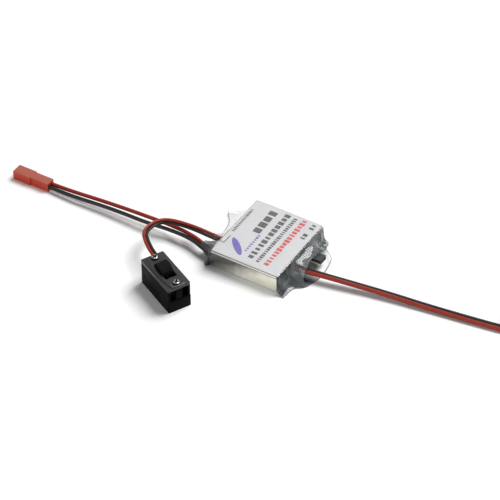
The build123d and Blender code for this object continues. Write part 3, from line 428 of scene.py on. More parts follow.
@dataclass(frozen=True)
class TarnishedTin(Finish):
    """Tin-plated steel, bright where the metal shows, with painted light: a dark reflection on the
    side walls, a streaked reflection on the end walls and a shadow line under the rim, all painted,
    and a dark band along the top edge.

    Places along and up the can are in millimetres. The painted dark reflection fades out along the
    can towards the output end, leaning back by a set amount for each millimetre up and wandering by
    up to half of a set reach either way, so that it is darker towards the input end and the top.
    """

    # Painted dark reflection on the side walls, darker towards the input end and the top.
    brown: Colour = tint(24, 20, 17)
    # Painted reflection on the end wall, from dark to light streaks.
    end_dark: Colour = tint(52, 56, 55)
    end_light: Colour = tint(122, 125, 121)
    # Colour of the painted shadow line under the rim, and of the dark band along the top edge.
    seam: Colour = tint(34, 31, 29)
    brown_lean: float = 2.7
    brown_full: float = -24.0
    brown_none: float = -4.0
    brown_roughness: float = 0.12
    brown_over_rim: float = 0.2
    stain_scale: float = 190.0
    stain_detail: float = 4.0
    stain_reach: float = 16.0
    streak_width_scale: float = 420.0
    streak_height_scale: float = 90.0
    end_wall: float = 17.4
    seam_height: float = 8.15
    seam_width: float = 0.34
    seam_core: float = 0.4
    seam_share: float = 0.95
    rim_height: float = 8.4
    border_height: float = 9.28
    border_share: float = 0.9
    blur: float = 0.1

    def step(self, wiring: Wiring, place: Socket, end: float, before: float,
             after: float) -> Socket:
        """Change one value to another over the blur that ends at a place.

        Args:
            wiring: The material's tree.
            place: Coordinate along which the value changes.
            end: Where the change ends, in millimetres.
            before: The value before it.
            after: The value beyond it.

        Returns:
            The value.
        """
        return wiring.span(place, (end - self.blur) * MM, end * MM, before, after)

    def varied(self, wiring: Wiring, colour: Socket, roughness: Socket) -> tuple[Socket, Socket]:
        """Paint a dark reflection on the wall towards the input end and the top, a streaked
        reflection on the end wall, a shadow line under the rim and a dark band along the top edge.

        Args:
            wiring: The material's tree.
            colour: Colour with the unevenness.
            roughness: Roughness with the unevenness.

        Returns:
            The colour and the roughness.
        """
        place = wiring.place()
        x, z = wiring.axis(place, "X"), wiring.axis(place, "Z")
        # Painted dark reflection: its edge wanders with noise, leans back with height and fades
        # over the rim.
        cloud = wiring.cloud(place, self.stain_scale, self.stain_detail)
        wander = wiring.maths("MULTIPLY", wiring.maths("SUBTRACT", cloud, 0.5),
                             self.stain_reach * MM)
        leaning = wiring.maths("SUBTRACT", wiring.maths("ADD", x, wander),
                               wiring.maths("MULTIPLY", z, self.brown_lean))
        brown = wiring.maths("MULTIPLY", wiring.span(leaning, self.brown_full * MM,
                                                     self.brown_none * MM, 1.0, 0.0),
                             self.step(wiring, z, self.rim_height, 1.0, self.brown_over_rim))
        colour = wiring.blend(brown, colour, self.brown)
        # Painted reflection on the end wall, in soft upright streaks.
        streaks = wiring.add("ShaderNodeGroup", node_tree=streak_group())
        streaks.inputs["Width Scale"].default_value = self.streak_width_scale
        streaks.inputs["Height Scale"].default_value = self.streak_height_scale
        end_reflection = wiring.blend(streaks.outputs["Mask"], self.end_dark, self.end_light)
        colour = wiring.blend(self.step(wiring, x, self.end_wall, 0.0, 1.0), colour, end_reflection)
        # Painted shadow line under the cover's rim, and a dark band along the top edge.
        off_rim_shadow = wiring.maths("ABSOLUTE", wiring.maths("SUBTRACT", z, self.seam_height * MM), 0.0)
        seam = wiring.span(off_rim_shadow, self.seam_core * self.seam_width * MM, self.seam_width * MM,
                           self.seam_share, 0.0)
        border = self.step(wiring, z, self.border_height, 0.0, self.border_share)
        colour = wiring.blend(wiring.maths("MAXIMUM", seam, border), colour, self.seam)
        rougher = wiring.maths("MULTIPLY", brown, self.brown_roughness)
        return colour, wiring.maths("ADD", roughness, rougher)


@dataclass(frozen=True)
class TwoHeightFinish(Finish):
    """Finish with another colour below a height: painted shade down in a recess, or a thing's own
    colour on its sides below a top that is painted paler as sheen.
    """

    # The default low colour is painted shade down in a screw's cross recesses.
    low_colour: Colour = tint(26, 23, 20)
    low_below: float = 14.84
    high_above: float = 14.98

    def varied(self, wiring: Wiring, colour: Socket, roughness: Socket) -> tuple[Socket, Socket]:
        """Change the colour below the height."""
        low = wiring.span(wiring.axis(wiring.place(), "Z"), self.low_below * MM,
                          self.high_above * MM, 1.0, 0.0)
        return wiring.blend(low, colour, self.low_colour), roughness


@dataclass(frozen=True)
class ClearFilm(Finish):
    """Clear heat-shrink film: glossy and thin, with painted dark reflection and shade where an
    attribute of the sleeve says so.
    """

    # Tint of the painted shade, which also darkens shadows cast through the film.
    smoky: Colour = tint(196, 203, 203)
    refraction: float = 1.38
    # Painted reflection: a grey layer, dark to light along the folds, laid over the painted shade.
    haze_dark: Colour = tint(38, 46, 47)
    haze_light: Colour = tint(126, 130, 131)
    haze_share: float = 0.62
    haze_roughness: float = 0.22
    haze_specular: float = 0.35
    fold_scale: Point = (70.0, 300.0, 70.0)
    fold_detail: float = 1.2
    fold_dark: float = 0.32
    fold_light: float = 0.72

    def smoke(self, wiring: Wiring) -> Socket:
        """How much painted dark reflection and shade the film carries, 0 to 1."""
        return wiring.add("ShaderNodeAttribute", attribute_name="smoke").outputs["Fac"]

    def varied(self, wiring: Wiring, colour: Socket, roughness: Socket) -> tuple[Socket, Socket]:
        """Tint the film darker where painted shade is laid on it."""
        return wiring.blend(self.smoke(wiring), colour, self.smoky), roughness

    def paint(self, wiring: Wiring, shader: bpy.types.Node) -> None:
        """Let light through to what the film wraps, and lay a grey painted reflection, streaked
        along its folds, over its painted shade.

        Args:
            wiring: The material's tree.
            shader: Its shader.
        """
        super().paint(wiring, shader)
        shader.inputs["Transmission Weight"].default_value = 1.0
        shader.inputs["IOR"].default_value = self.refraction
        colour, normal = (shader.inputs[key].links[0].from_socket
                          for key in ("Base Color", "Normal"))
        light = wiring.add("ShaderNodeLightPath").outputs
        passes = wiring.maths("MAXIMUM", light["Is Shadow Ray"], light["Is Diffuse Ray"])
        open_air = wiring.add("ShaderNodeBsdfTransparent", {"Color": colour})
        clear = wiring.add("ShaderNodeMixShader",
                           {0: passes, 1: shader.outputs[0], 2: open_air.outputs[0]})
        # Painted reflection streaks along the folds.
        folds = wiring.cloud(wiring.stretched(wiring.place(), self.fold_scale), 1.0,
                             self.fold_detail)
        grey = wiring.blend(wiring.span(folds, self.fold_dark, self.fold_light), self.haze_dark,
                            self.haze_light)
        reflection_layer = wiring.add("ShaderNodeBsdfPrincipled",
                          {"Base Color": grey, "Roughness": self.haze_roughness,
                           "Specular IOR Level": self.haze_specular, "Normal": normal})
        share = wiring.maths("MULTIPLY", self.smoke(wiring), self.haze_share)
        with_reflection = wiring.add("ShaderNodeMixShader",
                           {0: share, 1: clear.outputs[0], 2: reflection_layer.outputs[0]})
        wiring.feed(wiring.tree.nodes["Material Output"], "Surface", with_reflection.outputs[0])


TIN = TarnishedTin("tin_plated_steel", "tinned_steel", tint(248, 245, 232), 0.36, 0.18,
                   patch=tint(234, 227, 206), patch_scale=120.0, patch_share=0.6, bump=0.006)
LABEL_PAPER = Finish("printed_label_stock", "printed_label", tint(193, 193, 194), 0.42,
                     patch=tint(187, 187, 189), patch_scale=90.0, bump=0.002,
                     roughness_spread=0.06)
INK_BLACK = Finish("black_print", "printed_label", tint(34, 32, 36), 0.5, bump=0.002)
INK_RED = Finish("red_print", "printed_label", tint(180, 50, 52), 0.5, bump=0.002)
INK_PURPLE = Finish("purple_print", "printed_label", tint(84, 68, 152), 0.5, bump=0.002)
FILM = ClearFilm("clear_shrink_film", "clear_film", tint(254, 254, 254), 0.06,
                 patch=tint(249, 250, 250), patch_scale=150.0, patch_share=0.5,
                 grain_scale=260.0, roughness_spread=0.04, bump=0.004)
PAPER = Finish("insulating_paper", "insulating_paper", tint(196, 178, 140), 0.85, bump=0.02)
SILICONE = Finish("thermal_silicone", "silicone_pad", tint(120, 132, 150), 0.8, bump=0.03)
LAMINATE = Finish("green_board_laminate", "board_laminate", tint(30, 84, 56), 0.4, coat=0.25)
FERRITE = Finish("sintered_ferrite", "ferrite", tint(58, 58, 60), 0.7, grain_scale=5200.0,
                 bump=0.04)
COPPER = Finish("enamelled_copper", "copper_wire", tint(186, 98, 52), 0.28, 1.0, bump=0.03)
ALUMINIUM = Finish("capacitor_aluminium", "capacitor_aluminium", tint(206, 208, 212), 0.3, 0.9)
BLACK_PLASTIC = Finish("moulded_black_plastic", "black_plastic", tint(6, 6, 7), 0.5, specular=0.04,
                       patch=tint(10, 10, 11), patch_scale=180.0, grain_scale=3400.0, bump=0.012,
                       roughness_spread=0.16)
LID_PLASTIC = Finish("polished_black_plastic", "black_plastic", tint(9, 9, 10), 0.3, specular=0.45,
                     patch=tint(16, 16, 17), patch_scale=180.0, grain_scale=3400.0, bump=0.012,
                     roughness_spread=0.16)
CHIP_PLASTIC = Finish("chip_plastic", "chip_plastic", tint(34, 34, 36), 0.6, bump=0.02)
LEG_TIN = Finish("tinned_legs", "tin_plate", tint(190, 190, 188), 0.32, 0.95)
CERAMIC = Finish("fired_ceramic", "ceramic_body", tint(176, 146, 110), 0.5)
LENS = Finish("lamp_lens", "lamp_lens", tint(226, 236, 210), 0.2, coat=0.5, emission=0.15)
SOLDER = Finish("bright_solder", "solder", tint(186, 188, 190), 0.25, 0.95, bump=0.05)
GILT = Finish("plated_contact", "gilt_contact", tint(150, 142, 122), 0.3, 1.0)
JUMPER_PLASTIC = Finish("jumper_plastic", "jumper_plastic", tint(16, 16, 18), 0.2, coat=0.4,
                        bump=0.01)
RED_SLEEVE = Finish("red_silicone_insulation", "red_insulation", tint(140, 34, 8), 0.36,
                    specular=0.26, patch=tint(112, 22, 6), patch_scale=240.0, bump=0.008)
BLACK_SLEEVE = Finish("black_silicone_insulation", "black_insulation", tint(10, 9, 10), 0.32,
                      specular=0.3, patch=tint(18, 16, 16), patch_scale=240.0, bump=0.008)
# The pale top colour is a painted sheen; the low colour is the plug's own red, on its sides.
RED_PLASTIC = TwoHeightFinish("red_moulded_plastic", "red_plastic", tint(160, 84, 68), 0.42,
                              specular=0.3, patch=tint(148, 76, 62), patch_scale=160.0,
                              grain_scale=3000.0, bump=0.008, low_colour=tint(176, 50, 28),
                              low_below=4.5, high_above=4.66)
# The dark colour below the height is painted shade in the cross recesses; it also darkens the lower
# part of the head's rounded side.
NICKEL = TwoHeightFinish("bright_nickel", "nickel_screw", tint(184, 178, 166), 0.24, 1.0,
                         bump=0.006)
KNOB_PLASTIC = Finish("matte_knob_plastic", "knob_plastic", tint(7, 7, 8), 0.7, specular=0.1,
                      grain_scale=4200.0, bump=0.02)
PHENOLIC = Finish("brown_phenolic", "phenolic", tint(122, 84, 52), 0.6, bump=0.02)
STRAP = Finish("tie_plastic", "black_plastic", tint(30, 30, 32), 0.45, bump=0.01)


def dress(finish: Finish, *nodes: str) -> list[bpy.types.Object]:
    """Give kept solids their finish.

    Args:
        finish: The finish.
        nodes: The solids whose shape is right as it is.

    Returns:
        The solids.
    """
    solids = [frame["nodes"][node] for node in nodes]
    for solid in solids:
        solid.data.materials.clear()
        solid.data.materials.append(finish.material())
        log.info("%s: finished in %s", solid.name, finish.name)
    return solids


def grown(name: str, tree: bpy.types.NodeTree, values: dict[str, object]) -> bpy.types.Object:
    """Make a plain mesh with a geometry nodes tree.

    Args:
        name: The piece's name.
        tree: The tree.
        values: A value for each of the tree's named inputs.

    Returns:
        The piece.
    """
    piece = new_object(name, bpy.data.meshes.new(name))
    modifier = piece.modifiers.new("nodes", "NODES")
    modifier.node_group = tree
    for item in tree.interface.items_tree:
        if item.item_type == "SOCKET" and item.in_out == "INPUT":
            modifier[item.identifier] = values[item.name]
    plain_mesh(piece)
    return piece


def softened(node: str, width: float, finish: Finish, angle: float = 40.0) -> bpy.types.Object:
    """Copy a solid and round its sharp edges, as a mould or a press leaves them.

    Args:
        node: The solid that is copied and stood for.
        width: How wide each rounded edge is, in millimetres.
        finish: Its finish.
        angle: Edges that turn by less than this many degrees are left alone.

    Returns:
        The seated piece.
    """
    merged_within, flat_within, shaded_smooth = 1e-6, math.radians(1.0), 30.0
    source = frame["nodes"][node]
    mesh = mesh_of(f"{node}_softened", [point.co.copy() for point in source.data.vertices],
                   [tuple(face.vertices) for face in source.data.polygons])
    work = bmesh.new()
    work.from_mesh(mesh)
    bmesh.ops.remove_doubles(work, verts=work.verts, dist=merged_within)
    bmesh.ops.dissolve_limit(work, angle_limit=flat_within, verts=work.verts, edges=work.edges)
    work.to_mesh(mesh)
    work.free()
    mesh.materials.append(finish.material())
    piece = new_object(mesh.name, mesh)
    rounding = piece.modifiers.new("rounding", "BEVEL")
    rounding.width = width * MM
    rounding.segments = 3
    rounding.limit_method = "ANGLE"
    rounding.angle_limit = math.radians(angle)
    plain_mesh(piece)
    smooth(piece, shaded_smooth)
    return seat(piece, source["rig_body"], finish.slot, node)


# ---------------------------------------------------------------------------------------------
# Studio
# ---------------------------------------------------------------------------------------------
@dataclass(frozen=True)
class Softbox:
    """A square soft lamp: its place and side in metres, and its power in watts."""

    name: str
    place: Point
    side: float
    power: float

    def hang(self) -> None:
        """Hang the lamp so that it faces the origin."""
        data = bpy.data.lights.new(self.name, "AREA")
        data.size = self.side
        data.energy = self.power
        lamp = new_object(self.name, data)
        lamp.location = self.place
        lamp.rotation_euler = Vector(self.place).to_track_quat("Z", "Y").to_euler()


@dataclass
class Studio:
    """Camera, floor and lamps round the object.

    Angles are in degrees, the floor's size and the camera's clipping in metres, the sky is the
    strength of the light from all round, and the rest is in millimetres.
    """

    azimuth: float = 31.308
    elevation: float = 41.814
    distance: float = 1200.0
    aim_right: float = -7.866
    aim_up: float = 1.553
    focal_length: float = 184.9
    sensor_width: float = 36.0
    clip_start: float = 0.05
    clip_end: float = 20.0
    sky: float = 0.16
    floor_size: float = 3.0
    floor_drop: float = 0.02
    floor_grey: float = 0.96
    floor_roughness: float = 0.9
    lamps: tuple[Softbox, ...] = (Softbox("rear_softbox", (0.55, 1.10, 1.90), 1.4, 65.0),
                                  Softbox("front_softbox", (-0.20, -2.00, 0.56), 1.6, 19.0))

    def axes(self) -> tuple[Vector, Vector, Vector]:
        """Work out how the camera stands.

        Returns:
            Its right, up and backward directions.
        """
        azimuth, elevation = math.radians(self.azimuth), math.radians(self.elevation)
        back = Vector((math.sin(azimuth) * math.cos(elevation),
                       -math.cos(azimuth) * math.cos(elevation), math.sin(elevation)))
        right = Vector((math.cos(azimuth), math.sin(azimuth), 0.0))
        return right, back.cross(right), back

    def place_camera(self) -> None:
        """Set up the camera."""
        right, up, back = self.axes()
        data = bpy.data.cameras.new("camera")
        data.lens = self.focal_length
        data.sensor_width = self.sensor_width
        data.clip_start = self.clip_start
        data.clip_end = self.clip_end
        camera = new_object("camera", data)
        turn = Matrix((right, up, back)).transposed().to_4x4()
        spot = (self.distance * back + self.aim_right * right + self.aim_up * up) * MM
        camera.matrix_world = Matrix.Translation(spot) @ turn
        bpy.context.scene.camera = camera

    def lay_floor(self) -> None:
        """Lay a plain white floor just under the object."""
        half, height = self.floor_size / 2, -self.floor_drop * MM
        corners = [Vector((x * half, y * half, height))
                   for x, y in ((-1, -1), (1, -1), (1, 1), (-1, 1))]
        floor = new_object("floor", mesh_of("floor", corners, [(0, 1, 2, 3)]))
        material = bpy.data.materials.new("white_floor")
        material.use_nodes = True
        shader = material.node_tree.nodes["Principled BSDF"]
        shader.inputs["Base Color"].default_value = (*[self.floor_grey] * 3, 1.0)
        shader.inputs["Roughness"].default_value = self.floor_roughness
        shader.inputs["Specular IOR Level"].default_value = 0.0
        floor.data.materials.append(material)

    def fill_sky(self) -> None:
        """Light the scene from all round, with white wherever the background is seen."""
        world = bpy.data.worlds.new("tent")
        world.use_nodes = True
        bpy.context.scene.world = world
        wiring = Wiring(world.node_tree)
        background = world.node_tree.nodes["Background"]
        background.inputs["Color"].default_value = (1.0, 1.0, 1.0, 1.0)
        light = wiring.add("ShaderNodeLightPath").outputs
        mirrored = wiring.maths("MAXIMUM", light["Is Glossy Ray"], light["Is Transmission Ray"])
        seen = wiring.maths("MAXIMUM", light["Is Camera Ray"], mirrored)
        wiring.feed(background, "Strength", wiring.span(seen, 0.0, 1.0, self.sky, 1.0))

    def build(self) -> None:
        """Set up the whole studio."""
        bpy.context.scene.view_settings.view_transform = "Standard"
        self.place_camera()
        self.lay_floor()
        self.fill_sky()
        for lamp in self.lamps:
            lamp.hang()


# ---------------------------------------------------------------------------------------------
# Leads
# ---------------------------------------------------------------------------------------------
def pair_routes(centre: list[Point], spacing: float,
                rolls: list[float]) -> tuple[list[Point], list[Point]]:
    """Routes of two bonded wires that lie side by side.

    Args:
        centre: Points of the line between the two wires, in millimetres.
        spacing: Distance between the wires' middles.
        rolls: How far the pair is rolled at each point, in degrees.

    Returns:
        The route on the right of the heading and the route on its left.
    """
    right_route, left_route = [], []
    last = len(centre) - 1
    for index, (point, roll) in enumerate(zip(centre, rolls)):
        ahead = Vector(centre[min(index, last - 1) + 1]) - Vector(centre[min(index, last - 1)])
        behind = Vector(centre[max(index, 1)]) - Vector(centre[max(index, 1) - 1])
        heading = (behind.normalized() + ahead.normalized()).normalized()
        mitre = 1 / heading.dot(ahead.normalized())
        right = heading.cross(Vector((0, 0, 1))).normalized()
        above = right.cross(heading)
        turn = math.radians(roll)
        side = (right * math.cos(turn) + above * math.sin(turn)) * (spacing / 2 * mitre)
        right_route.append(tuple(Vector(point) + side))
        left_route.append(tuple(Vector(point) - side))
    return right_route, left_route


class Insulation(Enum):
    """The two colours of wire that the module uses."""

    RED = RED_SLEEVE
    BLACK = BLACK_SLEEVE

    @property
    def word(self) -> str:
        """The colour as pieces are named by it."""
        return self.name.lower()


@dataclass
class Wire:
    """One insulated wire on a smooth line that its route's points draw, in millimetres.

    The exit is where it leaves the can, the length is the real wire's, and the pieces are what
    hangs on its far end. None of these three is used.
    """

    name: str
    route: list[Point]
    diameter: float
    insulation: Insulation
    stands_for: tuple[str, ...]
    exit: Point
    length: float
    far_end: str
    lay: str
    pieces: list[bpy.types.Object]

    def build(self) -> bpy.types.Object:
        """Returns:
            The wire.
        """
        curve = bpy.data.curves.new(self.name, "CURVE")
        curve.dimensions = "3D"
        curve.bevel_depth = self.diameter / 2 * MM
        curve.bevel_resolution = 7
        curve.resolution_u = 10
        curve.use_fill_caps = True
        spline = curve.splines.new("NURBS")
        spline.points.add(len(self.route) - 1)
        for point, place in zip(spline.points, self.route):
            point.co = (*metres(place), 1.0)
        spline.order_u = 3
        spline.use_endpoint_u = True
        spline.use_smooth = True
        finish = self.insulation.value
        curve.materials.append(finish.material())
        piece = new_object(self.name, curve)
        seat(piece, MODULE, finish.slot, *self.stands_for)
        return piece


@dataclass
class SwitchFrame:
    """The switch's own frame: +U along it, away from its lead, and +V to the left."""

    x: float = -25.5
    y: float = -47.4
    turn: float = -27.3

    def at(self, u: float, v: float, z: float) -> Point:
        """Point in the part's frame of a point in the switch's frame, in millimetres."""
        cos, sin = math.cos(math.radians(self.turn)), math.sin(math.radians(self.turn))
        return self.x + u * cos - v * sin, self.y + u * sin + v * cos, z

    def matrix(self) -> Matrix:
        """Turn and shift from the switch's frame, in metres."""
        shift = Matrix.Translation(metres((self.x, self.y, 0.0)))
        return shift @ Matrix.Rotation(math.radians(self.turn), 4, "Z")


@dataclass
class InputLead:
    """Two separate wires from the can to the red two-pin plug."""

    pieces: list[bpy.types.Object]
    diameter: float = 1.9
    length: float = 103.0
    plug_y: float = -14.4
    plug_pitch: float = 2.35
    wire_end_x: float = -115.4
    plug_mid_z: float = 2.4

    def routes(self) -> dict[Insulation, list[Point]]:
        """Lay out the two wires.

        Returns:
            The route of each wire from the board to the plug, in millimetres.
        """
        half = self.plug_pitch / 2
        red = [(-12.9, -16.3, 4.0), (-18.5, -16.3, 4.15), (-24.6, -14.6, 4.7), (-33.0, -12.0, 5.0),
               (-44.5, -11.1, 5.0), (-58.5, -11.5, 4.8), (-72.5, -11.8, 4.3), (-86.0, -12.3, 3.7),
               (-98.0, -13.0, 3.1), (-106.8, -13.1, 2.6),
               (self.wire_end_x, self.plug_y + half, self.plug_mid_z)]
        black = [(-12.9, -18.6, 4.0), (-18.5, -18.6, 4.15), (-24.4, -17.0, 4.6),
                 (-32.2, -14.3, 4.8), (-43.5, -13.9, 4.8), (-57.5, -15.2, 4.5),
                 (-71.5, -14.8, 4.0), (-85.0, -15.1, 3.4), (-97.5, -15.9, 2.9),
                 (-106.8, -15.7, 2.5), (self.wire_end_x, self.plug_y - half, self.plug_mid_z)]
        return {Insulation.RED: red, Insulation.BLACK: black}

    def build(self) -> None:
        """Make both wires."""
        for insulation, route in self.routes().items():
            Wire(f"input_lead_{insulation.word}", route, self.diameter, insulation,
                 (f"input_wire_{insulation.word}",), (-CAN_END, *route[1][1:]), self.length,
                 "plug", "loose", self.pieces).build()


@dataclass
class SwitchLead:
    """Bonded pair that arches from the can, over the input lead, to the boxed switch."""

    pieces: list[bpy.types.Object]
    diameter: float = 1.5
    spacing: float = 1.55
    red_length: float = 73.0
    black_length: float = 70.0
    place: SwitchFrame = field(default_factory=SwitchFrame)

    def build(self) -> None:
        """Make both wires."""
        centre = [(-14.8, -6.6, 3.8), (-19.6, -6.7, 4.1), (-25.8, -7.6, 5.0), (-33.6, -8.9, 6.8),
                  (-41.8, -11.1, 8.3), (-48.0, -13.6, 8.9), (-50.8, -19.8, 9.7),
                  (-50.6, -26.5, 10.1), (-46.6, -31.2, 10.2),
                  self.place.at(-17.1, 3.0, 10.05), self.place.at(-8.5, 2.95, 10.0)]
        rolls = [0, 20, 48, 64, 76, 84, 56, 20, 6, 0, 0]
        red, black = pair_routes(centre, self.spacing, rolls)
        for insulation, route, length in ((Insulation.RED, red, self.red_length),
                                          (Insulation.BLACK, black, self.black_length)):
            Wire(f"switch_lead_{insulation.word}", route, self.diameter, insulation,
                 (f"switch_wire_{insulation.word}",), (-CAN_END, *route[1][1:]), length,
                 "fitting", "loose", self.pieces).build()


@dataclass
class OutputLead:
    """Bonded pair from the can to the wound rest of the lead and the three-pin plug.

    The coil's heading is the direction in degrees in which the pair comes in, at coil_touch, and
    each turn climbs by one diameter until full_turns are wound.
    """

    pieces: list[bpy.types.Object]
    diameter: float = 2.0
    spacing: float = 2.05
    red_length: float = 325.0
    black_length: float = 300.0
    coil_touch: tuple[float, float] = (131.5, 13.4)
    coil_x: float = 129.008
    coil_y: float = 25.649
    coil_radius: float = 12.5
    coil_base: float = 0.65
    coil_heading: float = 11.5
    turns: float = 2.1
    full_turns: float = 2.0
    points_per_turn: int = 24
    plug_pitch: float = 2.54
    plug_mid_z: float = 1.45
    plug_swing: float = -17.0
    plug_reach: float = 7.0

    def start_centre(self) -> tuple[list[Point], list[float]]:
        """Lay out the line between the two wires, as far as the coil.

        Returns:
            The line from the board to just before the coil, and how far the pair is rolled at
            each of its points, in degrees.
        """
        heading = math.radians(self.coil_heading)
        x, y = self.coil_touch
        touch = (x - math.cos(heading), y - math.sin(heading), self.coil_base + self.diameter / 2)
        centre = [(14.2, -6.4, 4.05), (20.4, -5.4, 4.2), (30.6, -3.7, 4.0), (45.0, -0.8, 3.2),
                  (63.5, 2.7, 2.2), (83.0, 5.3, 1.5), (102.0, 8.0, 1.35), (116.8, 10.3, 1.3),
                  (125.2, 11.9, 1.45), touch]
        return centre, [0, 8, 18, 18, 14, 10, 6, 4, 2, 0]

    def turn_points(self, side: float) -> list[Point]:
        """Points of one wire's turns.

        Args:
            side: +1 for the wire on the outside of the coil, -1 for the one on the inside.

        Returns:
            Points in millimetres that rise by one diameter in each full turn.
        """
        outwards = 1 / math.cos(math.pi / self.points_per_turn)
        radius = (self.coil_radius + side * self.diameter / 2) * outwards
        points = []
        for step in range(1, int(self.turns * self.points_per_turn)):
            turned = step / self.points_per_turn
            angle = math.radians(self.coil_heading - 90 + 360 * turned)
            rise = self.diameter * min(turned, self.full_turns)
            points.append((self.coil_x + radius * math.cos(angle),
                           self.coil_y + radius * math.sin(angle),
                           self.coil_base + self.diameter / 2 + rise))
        return points

    def tail_point(self, ahead: float, left: float, z: float) -> Point:
        """Find a point beyond the end of the coil.

        Args:
            ahead: How far it is along the tangent there, in millimetres.
            left: How far it is to the left of the tangent.
            z: Its height.

        Returns:
            The point.
        """
        angle = math.radians(self.coil_heading - 90 + 360 * self.turns)
        turn = angle + math.pi / 2
        x = self.coil_x + self.coil_radius * math.cos(angle)
        y = self.coil_y + self.coil_radius * math.sin(angle)
        return (x + ahead * math.cos(turn) - left * math.sin(turn),
                y + ahead * math.sin(turn) + left * math.cos(turn), z)

    def tail_centre(self) -> list[Point]:
        """Lay out the line between the two wires, beyond the coil.

        Returns:
            The line from the coil down to the three-pin plug.
        """
        points = [self.tail_point(0.6, 0.0, 5.65), self.tail_point(6.6, -0.1, 4.2),
                  self.tail_point(13.5, -1.0, 1.9), self.tail_point(20.8, -3.2, self.plug_mid_z)]
        turn = math.radians(self.coil_heading + 360 * self.turns + self.plug_swing)
        x, y, z = points[-1]
        points.append((x + self.plug_reach * math.cos(turn),
                       y + self.plug_reach * math.sin(turn), z))
        return points

    def build(self) -> None:
        """Make both wires, each in one line from the board to the plug."""
        centre, rolls = self.start_centre()
        red, black = pair_routes(centre, self.spacing, rolls)
        tail = self.tail_centre()
        tail_red, tail_black = pair_routes(tail, self.plug_pitch, [0.0] * len(tail))
        for insulation, start, side, end, length, coil in (
                (Insulation.RED, red, 1.0, tail_red, self.red_length, ("output_coil",)),
                (Insulation.BLACK, black, -1.0, tail_black, self.black_length, ())):
            name = insulation.word
            Wire(f"output_lead_{name}", start + self.turn_points(side) + end, self.diameter,
                 insulation, (f"output_wire_{name}", f"output_tail_{name}", *coil),
                 (CAN_END, *start[1][1:]), length, "connector", "loose", self.pieces).build()


# ---------------------------------------------------------------------------------------------
# Film
# ---------------------------------------------------------------------------------------------
@dataclass
class Sheet:
    """The upper or the lower sheet of a loose end of the film.

    Each table gives a value at a place across the film, from -1 on the -Y side to +1. Reaches and
    heights are the lip's, in millimetres, and the shade table is painted dark reflection and shade,
    0 for clear film and 1 for film at its darkest. A higher cling keeps the sheet close to the can
    for longer, a higher drop takes an upper sheet down sooner, and clearing is the share of the
    painted shade that is gone at the lip.
    """

    reach: Table
    height: Table
    smoke: Table
    cling: float
    drop: float
    clearing: float


@dataclass
class Flare:
    """Shape of one loose end of the film, beyond the can.

    The side is +1 or -1 along X, each side growth is how much wider than the can the lip is on
    that side, in millimetres, and the lip's shade is the least painted shade right at the lip,
    which paints a grey line along it.
    """

    side: float
    upper: Sheet
    lower: Sheet
    low_side_growth: float
    high_side_growth: float
    fold_seed: float
    lip_smoke: float


def output_flare() -> Flare:
    """Shape the output end: a wide mouth over the leads and the jumper.

    Returns:
        The flare.
    """
    # The third table of each sheet is its painted dark reflection and shade.
    upper = Sheet(
        [(-1.0, 4.3), (-0.9, 4.3), (-0.64, 5.5), (-0.5, 9.0), (-0.42, 7.1), (-0.36, 6.7),
         (-0.27, 6.8), (0.0, 5.4), (0.3, 6.6), (0.5, 6.8), (0.66, 5.2), (0.76, 4.2), (0.88, 4.4),
         (1.0, 1.8)],
        [(-1.0, 0.5), (-0.84, 0.6), (-0.64, 0.6), (-0.5, 0.9), (-0.42, 2.6), (-0.36, 4.2),
         (-0.27, 6.5), (0.0, 6.9), (0.4, 6.9), (0.56, 4.8), (0.7, 2.6), (0.88, 2.8), (1.0, 1.2)],
        [(-1.0, 1.0), (-0.5, 0.9), (-0.3, 0.7), (0.0, 0.65), (0.45, 0.75), (0.7, 1.0), (1.0, 1.0)],
        3.0, 1.1, 0.6)
    lower = Sheet(
        [(-1.0, 4.3), (-0.9, 4.3), (-0.64, 5.5), (-0.5, 9.2), (-0.3, 10.8), (-0.07, 12.0),
         (0.17, 12.0), (0.5, 10.6), (0.68, 6.6), (0.76, 4.4), (0.88, 4.4), (1.0, 1.8)],
        [(-1.0, 0.1), (-0.5, 0.4), (-0.3, 0.3), (0.0, 0.5), (0.3, 1.4), (0.55, 1.8), (0.7, 1.6),
         (0.88, 1.6), (1.0, 0.5)],
        [(-1.0, 1.0), (-0.6, 0.8), (-0.4, 0.75), (-0.15, 0.5), (0.0, 0.08), (0.6, 0.05), (0.8, 0.9),
         (1.0, 1.0)],
        1.0, 0.0, 0.4)
    return Flare(1.0, upper, lower, 1.6, 0.1, 3.7, 0.8)


def input_flare() -> Flare:
    """Shape the input end: a neck round the input wires, and a loose ear on the other side.

    Returns:
        The flare.
    """
    reach = [(-1.0, 1.4), (-0.97, 2.9), (-0.89, 2.3), (-0.86, 2.7), (-0.82, 4.6), (-0.725, 7.8),
             (-0.6, 7.2), (-0.48, 5.6), (-0.34, 6.0), (-0.1, 6.4), (0.24, 7.0), (0.5, 9.0),
             (0.69, 11.9), (0.8, 7.0), (1.0, 1.2)]
    # Painted dark reflection and shade across the film, shared by both sheets.
    smoke = [(-1.0, 0.9), (-0.6, 0.85), (-0.5, 0.3), (-0.4, 0.08), (1.0, 0.03)]
    upper = Sheet(
        reach,
        [(-1.0, 0.5), (-0.97, 0.7), (-0.89, 2.6), (-0.86, 4.0), (-0.82, 5.0), (-0.725, 6.3),
         (-0.6, 6.5), (-0.5, 4.2), (-0.44, 3.8), (-0.34, 7.1), (-0.22, 5.2), (-0.1, 2.2),
         (0.1, 1.2), (0.6, 1.0), (0.69, 2.0), (0.85, 0.9), (1.0, 0.6)],
        smoke, 1.5, 1.2, 0.2)
    lower = Sheet(
        reach,
        [(-1.0, 0.1), (-0.97, 0.2), (-0.89, 1.6), (-0.86, 2.8), (-0.82, 3.2), (-0.725, 3.3),
         (-0.6, 3.4), (-0.5, 3.0), (-0.42, 0.8), (-0.3, 0.2), (1.0, 0.1)],
        smoke, 1.0, 0.0, 0.2)
    return Flare(-1.0, upper, lower, 1.2, 0.2, 8.1, 0.45)


